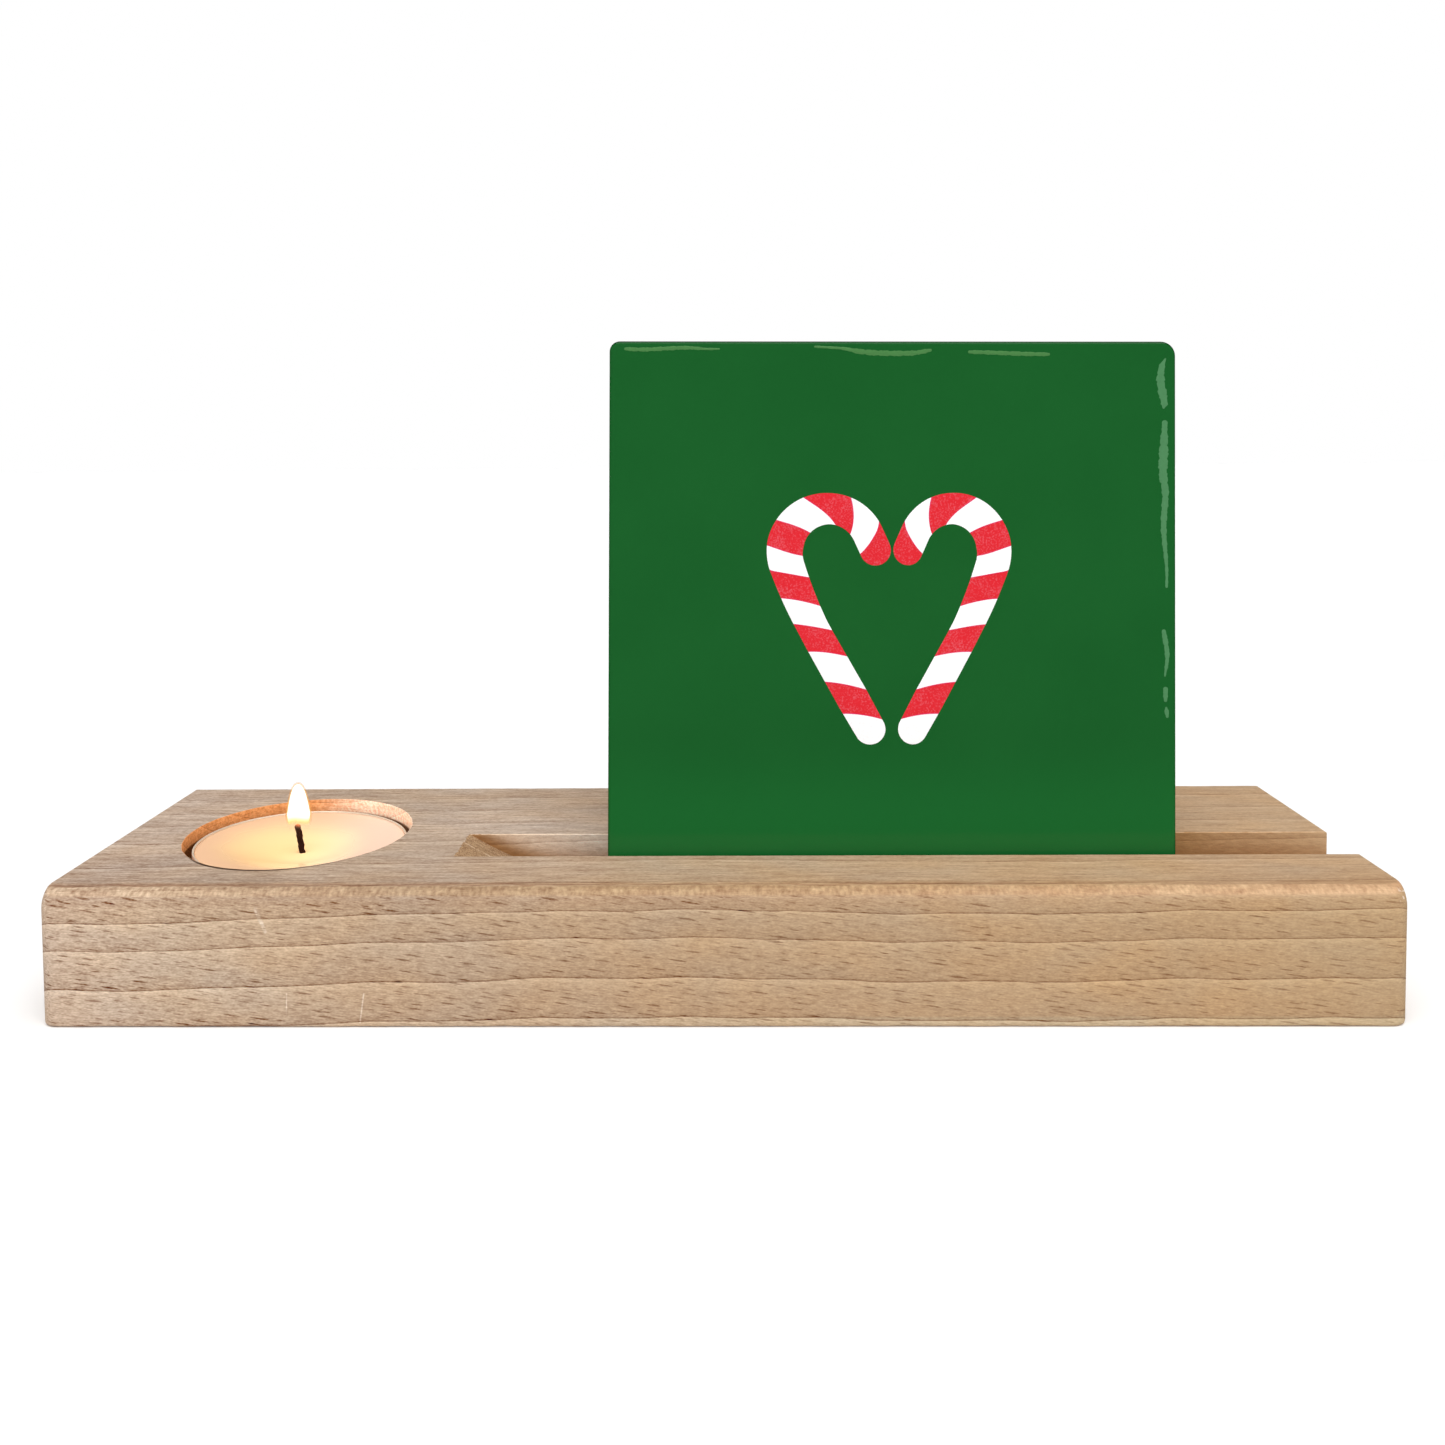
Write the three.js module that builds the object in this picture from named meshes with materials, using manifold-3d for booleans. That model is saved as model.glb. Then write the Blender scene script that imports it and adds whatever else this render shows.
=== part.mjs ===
// A beech tealight holder: a long wooden block with a round recess for a tealight
// and a sawn slot that holds a square ceramic tile upright.
//
// Units are millimetres. +X runs along the block, +Y points away from the viewer,
// +Z is up. The origin is the centre of the block's underside.

import * as THREE from 'three';
import { mergeVertices } from 'three/addons/utils/BufferGeometryUtils.js';
import Module from 'manifold-3d';

// ---------------------------------------------------------------- dimensions

// Block of beech, with each long edge eased by hand to its own radius.
const BLOCK_LENGTH = 219.2;
const BLOCK_DEPTH = 58.2;
const BLOCK_HEIGHT = 21.9;
const EASE_FRONT_TOP = 3.2;
const EASE_BACK_TOP = 0.5;
const EASE_BOTTOM = 0.6;
const EASE_FRONT_CORNER = 3;
const EASE_BACK_CORNER = 0.5;
const EASE_END_TOP = 0.4;

// Round recess for the tealight, placed from the block's left end and front face.
const RECESS_RADIUS = 20;
const RECESS_DEPTH = 17;
const RECESS_FROM_LEFT = 31.8;
const RECESS_FROM_FRONT = 30.7;

// Slot cut by a circular saw that came in from the right end and stopped short of
// the left one, so its left end climbs out of the block along the blade's circle.
const SLOT_FROM_FRONT = 17;
const SLOT_WIDTH = 11.7;
const SLOT_DEPTH = 10.8;
const SLOT_FROM_LEFT = 63.6;
const BLADE_RADIUS = 75;

// Square tile. It leans back on the slot's rear edge, and it is turned a little in
// its own plane, because its lower left corner rides up the slot's curved end.
const TILE_SIDE = 98;
const TILE_THICKNESS = 10.3;
const TILE_CORNER_RADIUS = 1.6;
const TILE_EDGE_ROUND = 0.9;
const TILE_CENTRE_X = 29.85;
const TILE_CENTRE_ABOVE_BLOCK = 39.7;
const TILE_FACE_FROM_FRONT = 18.1;
const TILE_LEAN = THREE.MathUtils.degToRad(3.2);
const TILE_TURN = THREE.MathUtils.degToRad(0.55);

// Tealight: a thin cup full of wax, standing a little off the recess's centre.
const CUP_RADIUS = 18.5;
const CUP_HEIGHT = 15.3;
const CUP_WALL = 0.3;
const CUP_OFFSET_X = 0.5;
const CUP_OFFSET_Y = -0.2;
const WAX_EDGE_BELOW_RIM = 0.4;
const WAX_FLAT_RADIUS = 5.5;
const WAX_POOL_BELOW_RIM = 2.2;
const WICK_RADIUS = 0.55;
const WICK_HEIGHT = 5.5;
const WICK_BURIED = 3;
const WICK_LEAN = 1.3;

// Play between separate pieces that touch, and how far a cutter passes a face.
const GAP = 0.3;
const OVERCUT = 5;

// Facets: on each quarter of a rounding, on the tile's rounded edge, round a turned
// piece, along the blade's circle, down the wax's bank, and along and round the wick.
const EASE_STEPS = 6;
const GLAZE_STEPS = 4;
const ROUND_STEPS = 64;
const BLADE_STEPS = 16;
const BANK_STEPS = 6;
const WICK_STEPS = 8;
const WICK_SIDES = 12;

// ------------------------------------------------------------------ helpers

const wasm = await Module();
wasm.setup();

/** A closed three.js geometry as a manifold solid: only positions, shared vertices merged. */
function toSolid(geometry) {
  const bare = geometry.clone();
  bare.deleteAttribute('normal');
  bare.deleteAttribute('uv');
  const merged = mergeVertices(bare);
  return new wasm.Manifold(new wasm.Mesh({
    numProp: 3,
    vertProperties: new Float32Array(merged.attributes.position.array),
    triVerts: new Uint32Array(merged.index.array),
  }));
}

/** A manifold solid as a three.js geometry. */
function toGeometry(solid) {
  const mesh = solid.getMesh();
  const geometry = new THREE.BufferGeometry();
  geometry.setAttribute('position', new THREE.BufferAttribute(mesh.vertProperties, 3));
  geometry.setIndex(new THREE.BufferAttribute(mesh.triVerts, 1));
  geometry.computeVertexNormals();
  return geometry;
}

/**
 * A rectangle from (left, bottom) to (right, top) whose four corners are quarter
 * circles. radii holds the bottom left, bottom right, top right and top left radius.
 */
function roundedRectangle(left, bottom, right, top, radii) {
  const [bottomLeft, bottomRight, topRight, topLeft] = radii;
  const quarter = Math.PI / 2;
  const corners = [
    [left + bottomLeft, bottom + bottomLeft, bottomLeft, 2],
    [right - bottomRight, bottom + bottomRight, bottomRight, 3],
    [right - topRight, top - topRight, topRight, 0],
    [left + topLeft, top - topLeft, topLeft, 1],
  ];
  const points = [];
  for (const [centreX, centreY, radius, turn] of corners) {
    for (let step = 0; step <= EASE_STEPS; step += 1) {
      const angle = quarter * (turn + step / EASE_STEPS);
      const x = centreX + radius * Math.cos(angle);
      const y = centreY + radius * Math.sin(angle);
      points.push(new THREE.Vector2(x, y));
    }
  }
  return new THREE.Shape(points);
}

/** A shape drawn in X and Y, extruded along Z from `from` to `to`. */
function extrudeAlongZ(shape, from, to) {
  const geometry = new THREE.ExtrudeGeometry(shape, { depth: to - from, bevelEnabled: false });
  return geometry.translate(0, 0, from);
}

/** A shape drawn in X and Z, extruded along Y from `from` to `to`. */
function extrudeAlongY(shape, from, to) {
  return extrudeAlongZ(shape, -to, -from).rotateX(Math.PI / 2);
}

/** A shape drawn in Y and Z, extruded along X from `from` to `to`. */
function extrudeAlongX(shape, from, to) {
  return extrudeAlongZ(shape, from, to).rotateX(Math.PI / 2).rotateZ(Math.PI / 2);
}

/** A body turned about the vertical axis from [radius, height] pairs, low to high. */
function turned(profile) {
  const points = profile.map(([radius, height]) => new THREE.Vector2(radius, height));
  return new THREE.LatheGeometry(points, ROUND_STEPS).rotateX(Math.PI / 2);
}

// -------------------------------------------------------------------- block

const blockLeft = -BLOCK_LENGTH / 2;
const blockRight = BLOCK_LENGTH / 2;
const blockFront = -BLOCK_DEPTH / 2;
const blockBack = BLOCK_DEPTH / 2;

const recessX = blockLeft + RECESS_FROM_LEFT;
const recessY = blockFront + RECESS_FROM_FRONT;
const recessFloor = BLOCK_HEIGHT - RECESS_DEPTH;

/** The bare block: what its end, plan and front outlines have in common. */
function easedBlock() {
  const endOutline = roundedRectangle(blockFront, 0, blockBack, BLOCK_HEIGHT, [
    EASE_BOTTOM, EASE_BOTTOM, EASE_BACK_TOP, EASE_FRONT_TOP,
  ]);
  const planOutline = roundedRectangle(blockLeft, blockFront, blockRight, blockBack, [
    EASE_FRONT_CORNER, EASE_FRONT_CORNER, EASE_BACK_CORNER, EASE_BACK_CORNER,
  ]);
  const frontOutline = roundedRectangle(blockLeft, 0, blockRight, BLOCK_HEIGHT, [
    EASE_BOTTOM, EASE_BOTTOM, EASE_END_TOP, EASE_END_TOP,
  ]);
  const alongX = toSolid(extrudeAlongX(endOutline, blockLeft - OVERCUT, blockRight + OVERCUT));
  const alongZ = toSolid(extrudeAlongZ(planOutline, -OVERCUT, BLOCK_HEIGHT + OVERCUT));
  const alongY = toSolid(extrudeAlongY(frontOutline, blockFront - OVERCUT, blockBack + OVERCUT));
  return alongX.intersect(alongZ).intersect(alongY);
}

/** The cylinder that the tealight's recess takes out of the block. */
function recessCutter() {
  return turned([
    [0, 0],
    [RECESS_RADIUS, 0],
    [RECESS_RADIUS, RECESS_DEPTH + OVERCUT],
    [0, RECESS_DEPTH + OVERCUT],
  ]).translate(recessX, recessY, recessFloor);
}

/**
 * What the saw takes out: a flat-floored slot that runs out of the right end, and
 * whose left end follows the blade's circle up through the top face.
 */
function slotCutter() {
  const floor = BLOCK_HEIGHT - SLOT_DEPTH;
  const bladeCentreZ = floor + BLADE_RADIUS;
  const drop = BLADE_RADIUS - SLOT_DEPTH;
  const reachAtTop = Math.sqrt(BLADE_RADIUS ** 2 - drop ** 2);
  const bladeCentreX = blockLeft + SLOT_FROM_LEFT + reachAtTop;
  const startAngle = -Math.PI / 2;
  const endAngle = startAngle - Math.acos((drop - OVERCUT) / BLADE_RADIUS);
  const outline = [new THREE.Vector2(blockRight + OVERCUT, floor)];
  for (let step = 0; step <= BLADE_STEPS; step += 1) {
    const angle = startAngle + (endAngle - startAngle) * (step / BLADE_STEPS);
    const x = bladeCentreX + BLADE_RADIUS * Math.cos(angle);
    const z = bladeCentreZ + BLADE_RADIUS * Math.sin(angle);
    outline.push(new THREE.Vector2(x, z));
  }
  outline.push(new THREE.Vector2(blockRight + OVERCUT, BLOCK_HEIGHT + OVERCUT));
  const slotFront = blockFront + SLOT_FROM_FRONT;
  return extrudeAlongY(new THREE.Shape(outline.reverse()), slotFront, slotFront + SLOT_WIDTH);
}

function makeBlock() {
  const solid = easedBlock().subtract(toSolid(recessCutter())).subtract(toSolid(slotCutter()));
  const beech = new THREE.MeshStandardMaterial({ color: 0xbe9f7d, roughness: 0.7, metalness: 0 });
  const block = new THREE.Mesh(toGeometry(solid), beech);
  block.name = 'block';
  return block;
}

// --------------------------------------------------------------------- tile

/** The tile stands in a leaning group, and turns in that group's plane. */
function makeTile() {
  const half = TILE_SIDE / 2 - TILE_EDGE_ROUND;
  const radius = TILE_CORNER_RADIUS - TILE_EDGE_ROUND;
  const outline = roundedRectangle(-half, -half, half, half, [radius, radius, radius, radius]);
  const geometry = new THREE.ExtrudeGeometry(outline, {
    depth: TILE_THICKNESS - 2 * TILE_EDGE_ROUND,
    bevelThickness: TILE_EDGE_ROUND,
    bevelSize: TILE_EDGE_ROUND,
    bevelSegments: GLAZE_STEPS,
  });
  geometry.rotateX(Math.PI / 2);
  geometry.translate(0, TILE_THICKNESS - TILE_EDGE_ROUND, 0);

  const glaze = new THREE.MeshStandardMaterial({ color: 0x1c5f2a, roughness: 0.15, metalness: 0 });
  const tile = new THREE.Mesh(geometry, glaze);
  tile.name = 'tile';
  tile.position.z = TILE_CENTRE_ABOVE_BLOCK;
  tile.rotation.y = TILE_TURN;

  const leaning = new THREE.Group();
  leaning.position.set(TILE_CENTRE_X, blockFront + TILE_FACE_FROM_FRONT, BLOCK_HEIGHT);
  leaning.rotation.x = -TILE_LEAN;
  leaning.add(tile);
  return leaning;
}

// ----------------------------------------------------------------- tealight

function makeCup() {
  const inner = CUP_RADIUS - CUP_WALL;
  const geometry = turned([
    [0, 0],
    [CUP_RADIUS, 0],
    [CUP_RADIUS, CUP_HEIGHT],
    [inner, CUP_HEIGHT],
    [inner, CUP_WALL],
    [0, CUP_WALL],
  ]);
  const metal = new THREE.MeshStandardMaterial({ color: 0xd8d6d2, roughness: 0.3, metalness: 0.9 });
  const cup = new THREE.Mesh(geometry, metal);
  cup.name = 'tealight_cup';
  return cup;
}

/** Wax, high at the wall and dished to a pool in the middle, with a pit round the wick. */
function makeWax() {
  const wall = CUP_RADIUS - CUP_WALL - GAP;
  const edge = CUP_HEIGHT - WAX_EDGE_BELOW_RIM;
  const pool = CUP_HEIGHT - WAX_POOL_BELOW_RIM;
  const pit = WICK_RADIUS + GAP;
  const profile = [[0, CUP_WALL + GAP], [wall, CUP_WALL + GAP]];
  for (let step = 0; step <= BANK_STEPS; step += 1) {
    const share = step / BANK_STEPS;
    const radius = wall + (WAX_FLAT_RADIUS - wall) * share;
    const height = pool + (edge - pool) * (1 + Math.cos(Math.PI * share)) / 2;
    profile.push([radius, height]);
  }
  profile.push([pit, pool], [pit, pool - WICK_BURIED - GAP], [0, pool - WICK_BURIED - GAP]);
  const paraffin = new THREE.MeshStandardMaterial({ color: 0xffe6c4, roughness: 0.4, metalness: 0 });
  const wax = new THREE.Mesh(turned(profile), paraffin);
  wax.name = 'tealight_wax';
  return wax;
}

/** The burnt wick: upright in the wax, then leaning to the left. */
function makeWick() {
  const route = new THREE.CatmullRomCurve3([
    new THREE.Vector3(0, 0, -WICK_BURIED),
    new THREE.Vector3(0, 0, 0),
    new THREE.Vector3(-WICK_LEAN / 2, 0, WICK_HEIGHT / 2),
    new THREE.Vector3(-WICK_LEAN, 0, WICK_HEIGHT),
  ]);
  const section = new THREE.Shape().absarc(0, 0, WICK_RADIUS, 0, 2 * Math.PI);
  const geometry = new THREE.ExtrudeGeometry(section, {
    extrudePath: route,
    steps: WICK_STEPS,
    curveSegments: WICK_SIDES / 2,
  });
  const char = new THREE.MeshStandardMaterial({ color: 0x1e1512, roughness: 0.9, metalness: 0 });
  const wick = new THREE.Mesh(geometry, char);
  wick.name = 'tealight_wick';
  wick.position.z = CUP_HEIGHT - WAX_POOL_BELOW_RIM;
  return wick;
}

function makeTealight() {
  const tealight = new THREE.Group();
  tealight.position.set(recessX + CUP_OFFSET_X, recessY + CUP_OFFSET_Y, recessFloor);
  tealight.add(makeCup(), makeWax(), makeWick());
  return tealight;
}

// ----------------------------------------------------------------- assembly

const holder = new THREE.Group();
holder.name = 'tealight_holder';
holder.add(makeBlock(), makeTile(), makeTealight());

export default holder;
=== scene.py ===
# %% [markdown]
# # A beech tealight holder with a glazed tile
#
# A long bar of beech carries a tealight in a round recess and a square ceramic tile in a
# sawn slot. The packed model holds the five solids at their real size. This lesson dresses
# them: each one gets a finer surface of the same form and a finish made of nodes, and the
# things with no solid of their own are added, which are the glaze print and the flame.
#
# Everything is worked out in millimetres and put into the meshes in metres.

# %% Load the packed model
import math

import bpy
import numpy as np
from mathutils import Matrix, Vector


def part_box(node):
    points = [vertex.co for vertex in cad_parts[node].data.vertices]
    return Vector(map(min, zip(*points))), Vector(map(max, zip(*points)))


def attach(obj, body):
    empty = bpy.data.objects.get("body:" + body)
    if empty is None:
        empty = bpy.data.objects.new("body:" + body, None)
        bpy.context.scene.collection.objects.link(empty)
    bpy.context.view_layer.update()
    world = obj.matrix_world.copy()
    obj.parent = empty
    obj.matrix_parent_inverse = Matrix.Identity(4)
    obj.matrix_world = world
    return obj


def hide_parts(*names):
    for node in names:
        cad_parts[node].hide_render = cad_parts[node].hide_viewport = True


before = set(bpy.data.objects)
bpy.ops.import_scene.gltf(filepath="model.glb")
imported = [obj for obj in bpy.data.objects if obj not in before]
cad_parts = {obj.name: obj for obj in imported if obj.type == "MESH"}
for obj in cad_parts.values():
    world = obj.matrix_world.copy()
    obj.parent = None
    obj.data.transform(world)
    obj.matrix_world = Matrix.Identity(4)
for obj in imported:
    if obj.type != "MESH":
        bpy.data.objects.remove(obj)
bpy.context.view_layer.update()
MM = 0.001

print("nodes:", sorted(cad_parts))

# %% [markdown]
# ## Camera
#
# The lens looks almost level at the long side, a little from above. Its axis does not pass
# through the middle of the image, so the sensor is shifted down by the difference. The three
# angles could be typed into a rotation, but building the camera's own axes one after the
# other keeps their order plain: turn, then tip down, then roll about the line of sight.

# %% Camera
IMAGE_SIDE = 1445
FOCAL_PIXELS = 1208.2
LENS_AXIS_ROW = 497.3
SENSOR_WIDTH = 36
CAMERA_PLACE = Vector((3.96, -217.43, 93.35))
PITCH = math.radians(2.671)
YAW = math.radians(-0.850)
ROLL = math.radians(0.448)
NEAR_LIMIT = 10 * MM
FAR_LIMIT = 20


def add_object(name, data):
    """Put a new object that carries this data into the scene."""
    thing = bpy.data.objects.new(name, data)
    bpy.context.scene.collection.objects.link(thing)
    return thing


ahead = Vector((math.sin(YAW) * math.cos(PITCH), math.cos(YAW) * math.cos(PITCH), -math.sin(PITCH)))
level_right = Vector((math.cos(YAW), -math.sin(YAW), 0))
level_down = ahead.cross(level_right)
right = level_right * math.cos(ROLL) + level_down * math.sin(ROLL)
down = level_down * math.cos(ROLL) - level_right * math.sin(ROLL)
camera_axes = Matrix((right, -down, -ahead)).transposed().to_4x4()

camera_data = bpy.data.cameras.new("camera")
camera_data.sensor_width = SENSOR_WIDTH
camera_data.lens = SENSOR_WIDTH * FOCAL_PIXELS / IMAGE_SIDE
camera_data.shift_y = (LENS_AXIS_ROW - IMAGE_SIDE / 2) / IMAGE_SIDE
camera_data.clip_start = NEAR_LIMIT
camera_data.clip_end = FAR_LIMIT
camera = add_object("camera", camera_data)
camera.matrix_world = Matrix.Translation(CAMERA_PLACE * MM) @ camera_axes
bpy.context.scene.camera = camera
print(f"lens {camera_data.lens:.2f} mm, shift {camera_data.shift_y:.4f}")

# %% [markdown]
# ## Arithmetic on nodes
#
# A finish is a formula over the surface. Wiring Math nodes by hand hides the formula, so a
# small class wraps an output socket and lets Python's operators add the nodes. One method
# makes every other kind of node: it takes the settings first, because some of them change
# which sockets exist, and then the values or links of the sockets.

# %% Sockets that can be added and multiplied
def operator(operation, reflected=False):
    """A method that adds one Math node to a signal and another signal or number. A reflected
    one has the signal on the right, as in 1 - mask."""
    def apply(self, other):
        values = (other, self) if reflected else (self, other)
        return self.recipe.maths(operation, *values)
    return apply


class Signal:
    """An output socket of a node tree. Each operator adds one Math node."""

    def __init__(self, recipe, socket):
        self.recipe = recipe
        self.socket = socket

    def also(self, output):
        """Another output of the same node."""
        return Signal(self.recipe, self.socket.node.outputs[output])

    def __abs__(self):
        return self.recipe.maths("ABSOLUTE", self)

    __add__ = operator("ADD")
    __radd__ = operator("ADD", reflected=True)
    __sub__ = operator("SUBTRACT")
    __rsub__ = operator("SUBTRACT", reflected=True)
    __mul__ = operator("MULTIPLY")
    __rmul__ = operator("MULTIPLY", reflected=True)
    __truediv__ = operator("DIVIDE")
    __rtruediv__ = operator("DIVIDE", reflected=True)


print("a signal takes + - * / and abs()")

# %% One method for every other node
class Recipe:
    """The node tree of one material, or of the world."""

    def __init__(self, owner):
        owner.use_nodes = True
        self.owner = owner
        self.tree = owner.node_tree
        self.tree.nodes.clear()

    def node(self, kind, settings=None, sockets=None, output=0):
        """Add a node of a kind, set its settings, fill its sockets, and return one output."""
        node = self.tree.nodes.new("ShaderNode" + kind)
        for name, value in (settings or {}).items():
            if name == "stops":
                self.set_stops(node.color_ramp, value)
            elif name == "interpolation":
                node.color_ramp.interpolation = value
            else:
                setattr(node, name, value)
        for name, value in (sockets or {}).items():
            if isinstance(value, Signal):
                self.tree.links.new(value.socket, node.inputs[name])
            else:
                node.inputs[name].default_value = value
        return Signal(self, node.outputs[output]) if node.outputs else None

    @staticmethod
    def set_stops(ramp, stops):
        """Give a ramp its stops, as pairs of a place from 0 to 1 and a grey or a colour."""
        while len(ramp.elements) > 1:
            ramp.elements.remove(ramp.elements[-1])
        for number, (place, tone) in enumerate(stops):
            element = ramp.elements.new(place) if number else ramp.elements[0]
            element.position = place
            element.color = tone if isinstance(tone, tuple) else (tone, tone, tone, 1)

    def maths(self, operation, *values):
        """One Math node on these values."""
        return self.node("Math", {"operation": operation}, dict(enumerate(values)))

    def ease(self, value, start, end):
        """0 before start, 1 past end, and a smooth S between them."""
        limits = {"From Min": start, "From Max": end}
        return self.node("MapRange", {"interpolation_type": "SMOOTHSTEP"}, {"Value": value, **limits})

    def share(self, value, start, end):
        """How far a value has come from start to end, from 0 to 1."""
        return self.node("MapRange", {}, {"Value": value, "From Min": start, "From Max": end})

    def distance(self, first, second):
        """The root of the sum of two squares: how far apart two places are that lie so much
        apart one way and so much at a right angle to it."""
        return self.maths("SQRT", first * first + second * second)

    def ramp(self, value, stops, interpolation="LINEAR"):
        """A grey or colour read off a ramp at the value."""
        settings = {"stops": stops, "interpolation": interpolation}
        return self.node("ValToRGB", settings, {"Fac": value})

    def tones(self, value, stops):
        """A colour read off a ramp whose stops are places and screen colours."""
        return self.ramp(value, [(place, shade(*tone)) for place, tone in stops])

    def mix(self, factor, first, second):
        """The first colour at 0, the second at 1. Each is a signal or a screen colour."""
        first, second = (tone if isinstance(tone, Signal) else shade(*tone) for tone in (first, second))
        return self.node("Mix", {"data_type": "RGBA"}, {0: factor, 6: first, 7: second}, output=2)

    def scaled(self, vector, amount):
        """A vector or colour times a number or signal."""
        return self.node("VectorMath", {"operation": "SCALE"}, {"Vector": vector, "Scale": amount})

    def stretched(self, vector, factors):
        """A vector times three numbers, one for each axis."""
        return self.node("VectorMath", {"operation": "MULTIPLY"}, {0: vector, 1: factors})

    def split(self, vector):
        """The three parts of a vector."""
        first = self.node("SeparateXYZ", sockets={0: vector})
        return first, first.also("Y"), first.also("Z")

    def joined(self, x, y, z=0.0):
        """A vector from its parts."""
        return self.node("CombineXYZ", sockets={"X": x, "Y": y, "Z": z})

    def noise(self, vector, lumps, detail=2.0):
        """Soft noise from 0 to 1 about 0.5, with so many lumps in a millimetre: one number for
        every direction, or one for each axis."""
        factors = lumps if isinstance(lumps, tuple) else (lumps, lumps, lumps)
        place = self.stretched(vector, factors)
        return self.node("TexNoise", sockets={"Vector": place, "Scale": 1.0, "Detail": detail})

    def waver(self, vector, lumps, detail=2.0):
        """The same noise about 0, from -0.5 to 0.5."""
        return self.noise(vector, lumps, detail) - 0.5


print("a recipe knows:", [name for name in vars(Recipe) if not name.startswith("_")])

# %% Colours and the start of a finish
def shade(red, green, blue):
    """A screen colour, from 0 to 255, as the linear light that nodes work in."""
    screen = np.array([red, green, blue]) / 255
    linear = np.where(screen <= 0.04045, screen / 12.92, ((screen + 0.055) / 1.055) ** 2.4)
    return (*(float(part) for part in linear), 1.0)


def new_finish(name):
    """The recipe of a new material, and the surface point in millimetres."""
    recipe = Recipe(bpy.data.materials.new(name))
    object_place = recipe.node("TexCoord", output="Object")
    return recipe, recipe.scaled(object_place, 1 / MM)


def close_finish(recipe, **sockets):
    """Put a Principled surface at the end of a recipe and return its material. Socket names
    have _ for a space."""
    named = {name.replace("_", " "): value for name, value in sockets.items()}
    surface = recipe.node("BsdfPrincipled", sockets=named)
    recipe.node("OutputMaterial", sockets={"Surface": surface})
    print(f"{recipe.owner.name}: {len(recipe.tree.nodes)} nodes")
    return recipe.owner


def relief(recipe, height, depth_mm):
    """A Bump normal: the height signal, from 0 to 1, stands for so many millimetres."""
    return recipe.node("Bump", sockets={"Height": height, "Distance": depth_mm * MM, "Strength": 1.0})


print("a screen's middle grey is", round(shade(128, 128, 128)[0], 3), "of white in linear light")

# %% [markdown]
# ## Floor and light
#
# The holder stands on a plain pale floor in even studio light. One big lamp would light the
# top and leave the long front side dark, so most of the light comes from all round, which a
# bright world gives, and a wide soft sun, high up and a little to the right, adds some shape.
# Polished glaze mirrors what stands before it, so mirror rays meet a dark room with a barely
# brighter ceiling, and the tile keeps its deep colour.

# %% Floor
FLOOR_REACH = 4000
FLOOR_GAP = 0.02
FLOOR_TONE = (0.97, 0.97, 0.97, 1)

floor_corners = np.array([[-1, -1], [1, -1], [1, 1], [-1, 1]]) * FLOOR_REACH
floor_points = np.column_stack([floor_corners, np.full(4, -FLOOR_GAP)]) * MM
floor_mesh = bpy.data.meshes.new("floor")
floor_mesh.from_pydata(floor_points.tolist(), [], [(0, 1, 2, 3)])
floor = add_object("floor", floor_mesh)
paper = Recipe(bpy.data.materials.new("pale_floor"))
pale_floor = close_finish(paper, Base_Color=FLOOR_TONE, Roughness=0.9, Specular_IOR_Level=0.0)
floor_mesh.materials.append(pale_floor)
floor.visible_glossy = False
print("floor", 2 * FLOOR_REACH * MM, "m wide")

# %% World
SKY_FRONT = 0.6
SKY_BACK = 0.25
BACKDROP = 1.0
SKY_BLEND = 0.7
MIRROR_ROOM = 0.04
MIRROR_CEILING = 0.08
CEILING_RISE = (0.5, 0.95)

world = bpy.data.worlds.new("studio")
bpy.context.scene.world = world
studio = Recipe(world)
direction = studio.node("TexCoord", output="Generated")
side, depth, height = studio.split(direction)
sky = SKY_BACK + studio.ease(depth * -1, -SKY_BLEND, SKY_BLEND) * (SKY_FRONT - SKY_BACK)
room = MIRROR_ROOM + studio.ease(height, *CEILING_RISE) * (MIRROR_CEILING - MIRROR_ROOM)
ray = studio.node("LightPath", output="Is Camera Ray")
unseen = sky + ray.also("Is Glossy Ray") * (room - sky)
strength = ray * BACKDROP + (1 - ray) * unseen
background = studio.node("Background", sockets={"Color": (1, 1, 1, 1), "Strength": strength})
studio.node("OutputWorld", sockets={"Surface": background})
bpy.context.scene.view_settings.view_transform = "Standard"
print("sky:", SKY_FRONT, "before the holder and", SKY_BACK, "behind it")

# %% Sun
SUN_STRENGTH = 2.3
SUN_WIDTH = math.radians(60)
SUN_AZIMUTH = math.radians(12)
SUN_ELEVATION = math.radians(68)

sun_data = bpy.data.lights.new("key_sun", "SUN")
sun_data.energy = SUN_STRENGTH
sun_data.angle = SUN_WIDTH
to_the_right = math.sin(SUN_AZIMUTH) * math.cos(SUN_ELEVATION)
to_the_back = -math.cos(SUN_AZIMUTH) * math.cos(SUN_ELEVATION)
towards_sun = Vector((to_the_right, to_the_back, math.sin(SUN_ELEVATION)))
sun = add_object("key_sun", sun_data)
sun.rotation_euler = towards_sun.to_track_quat("Z", "Y").to_euler()
print("sun:", SUN_STRENGTH, "watts a square metre")

# %% [markdown]
# ## One way to skin every piece
#
# Each piece here is a stack of closed rings: sections along a bar, circles up a turned form,
# outlines that shrink towards the middle of a tile, or ovals along a brush stroke. So one
# function can skin them all. It joins each ring to the next with four-sided faces and closes
# both ends with a fan. The sign of the enclosed volume tells whether the faces point out, and
# the function turns them round if they don't.

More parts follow.
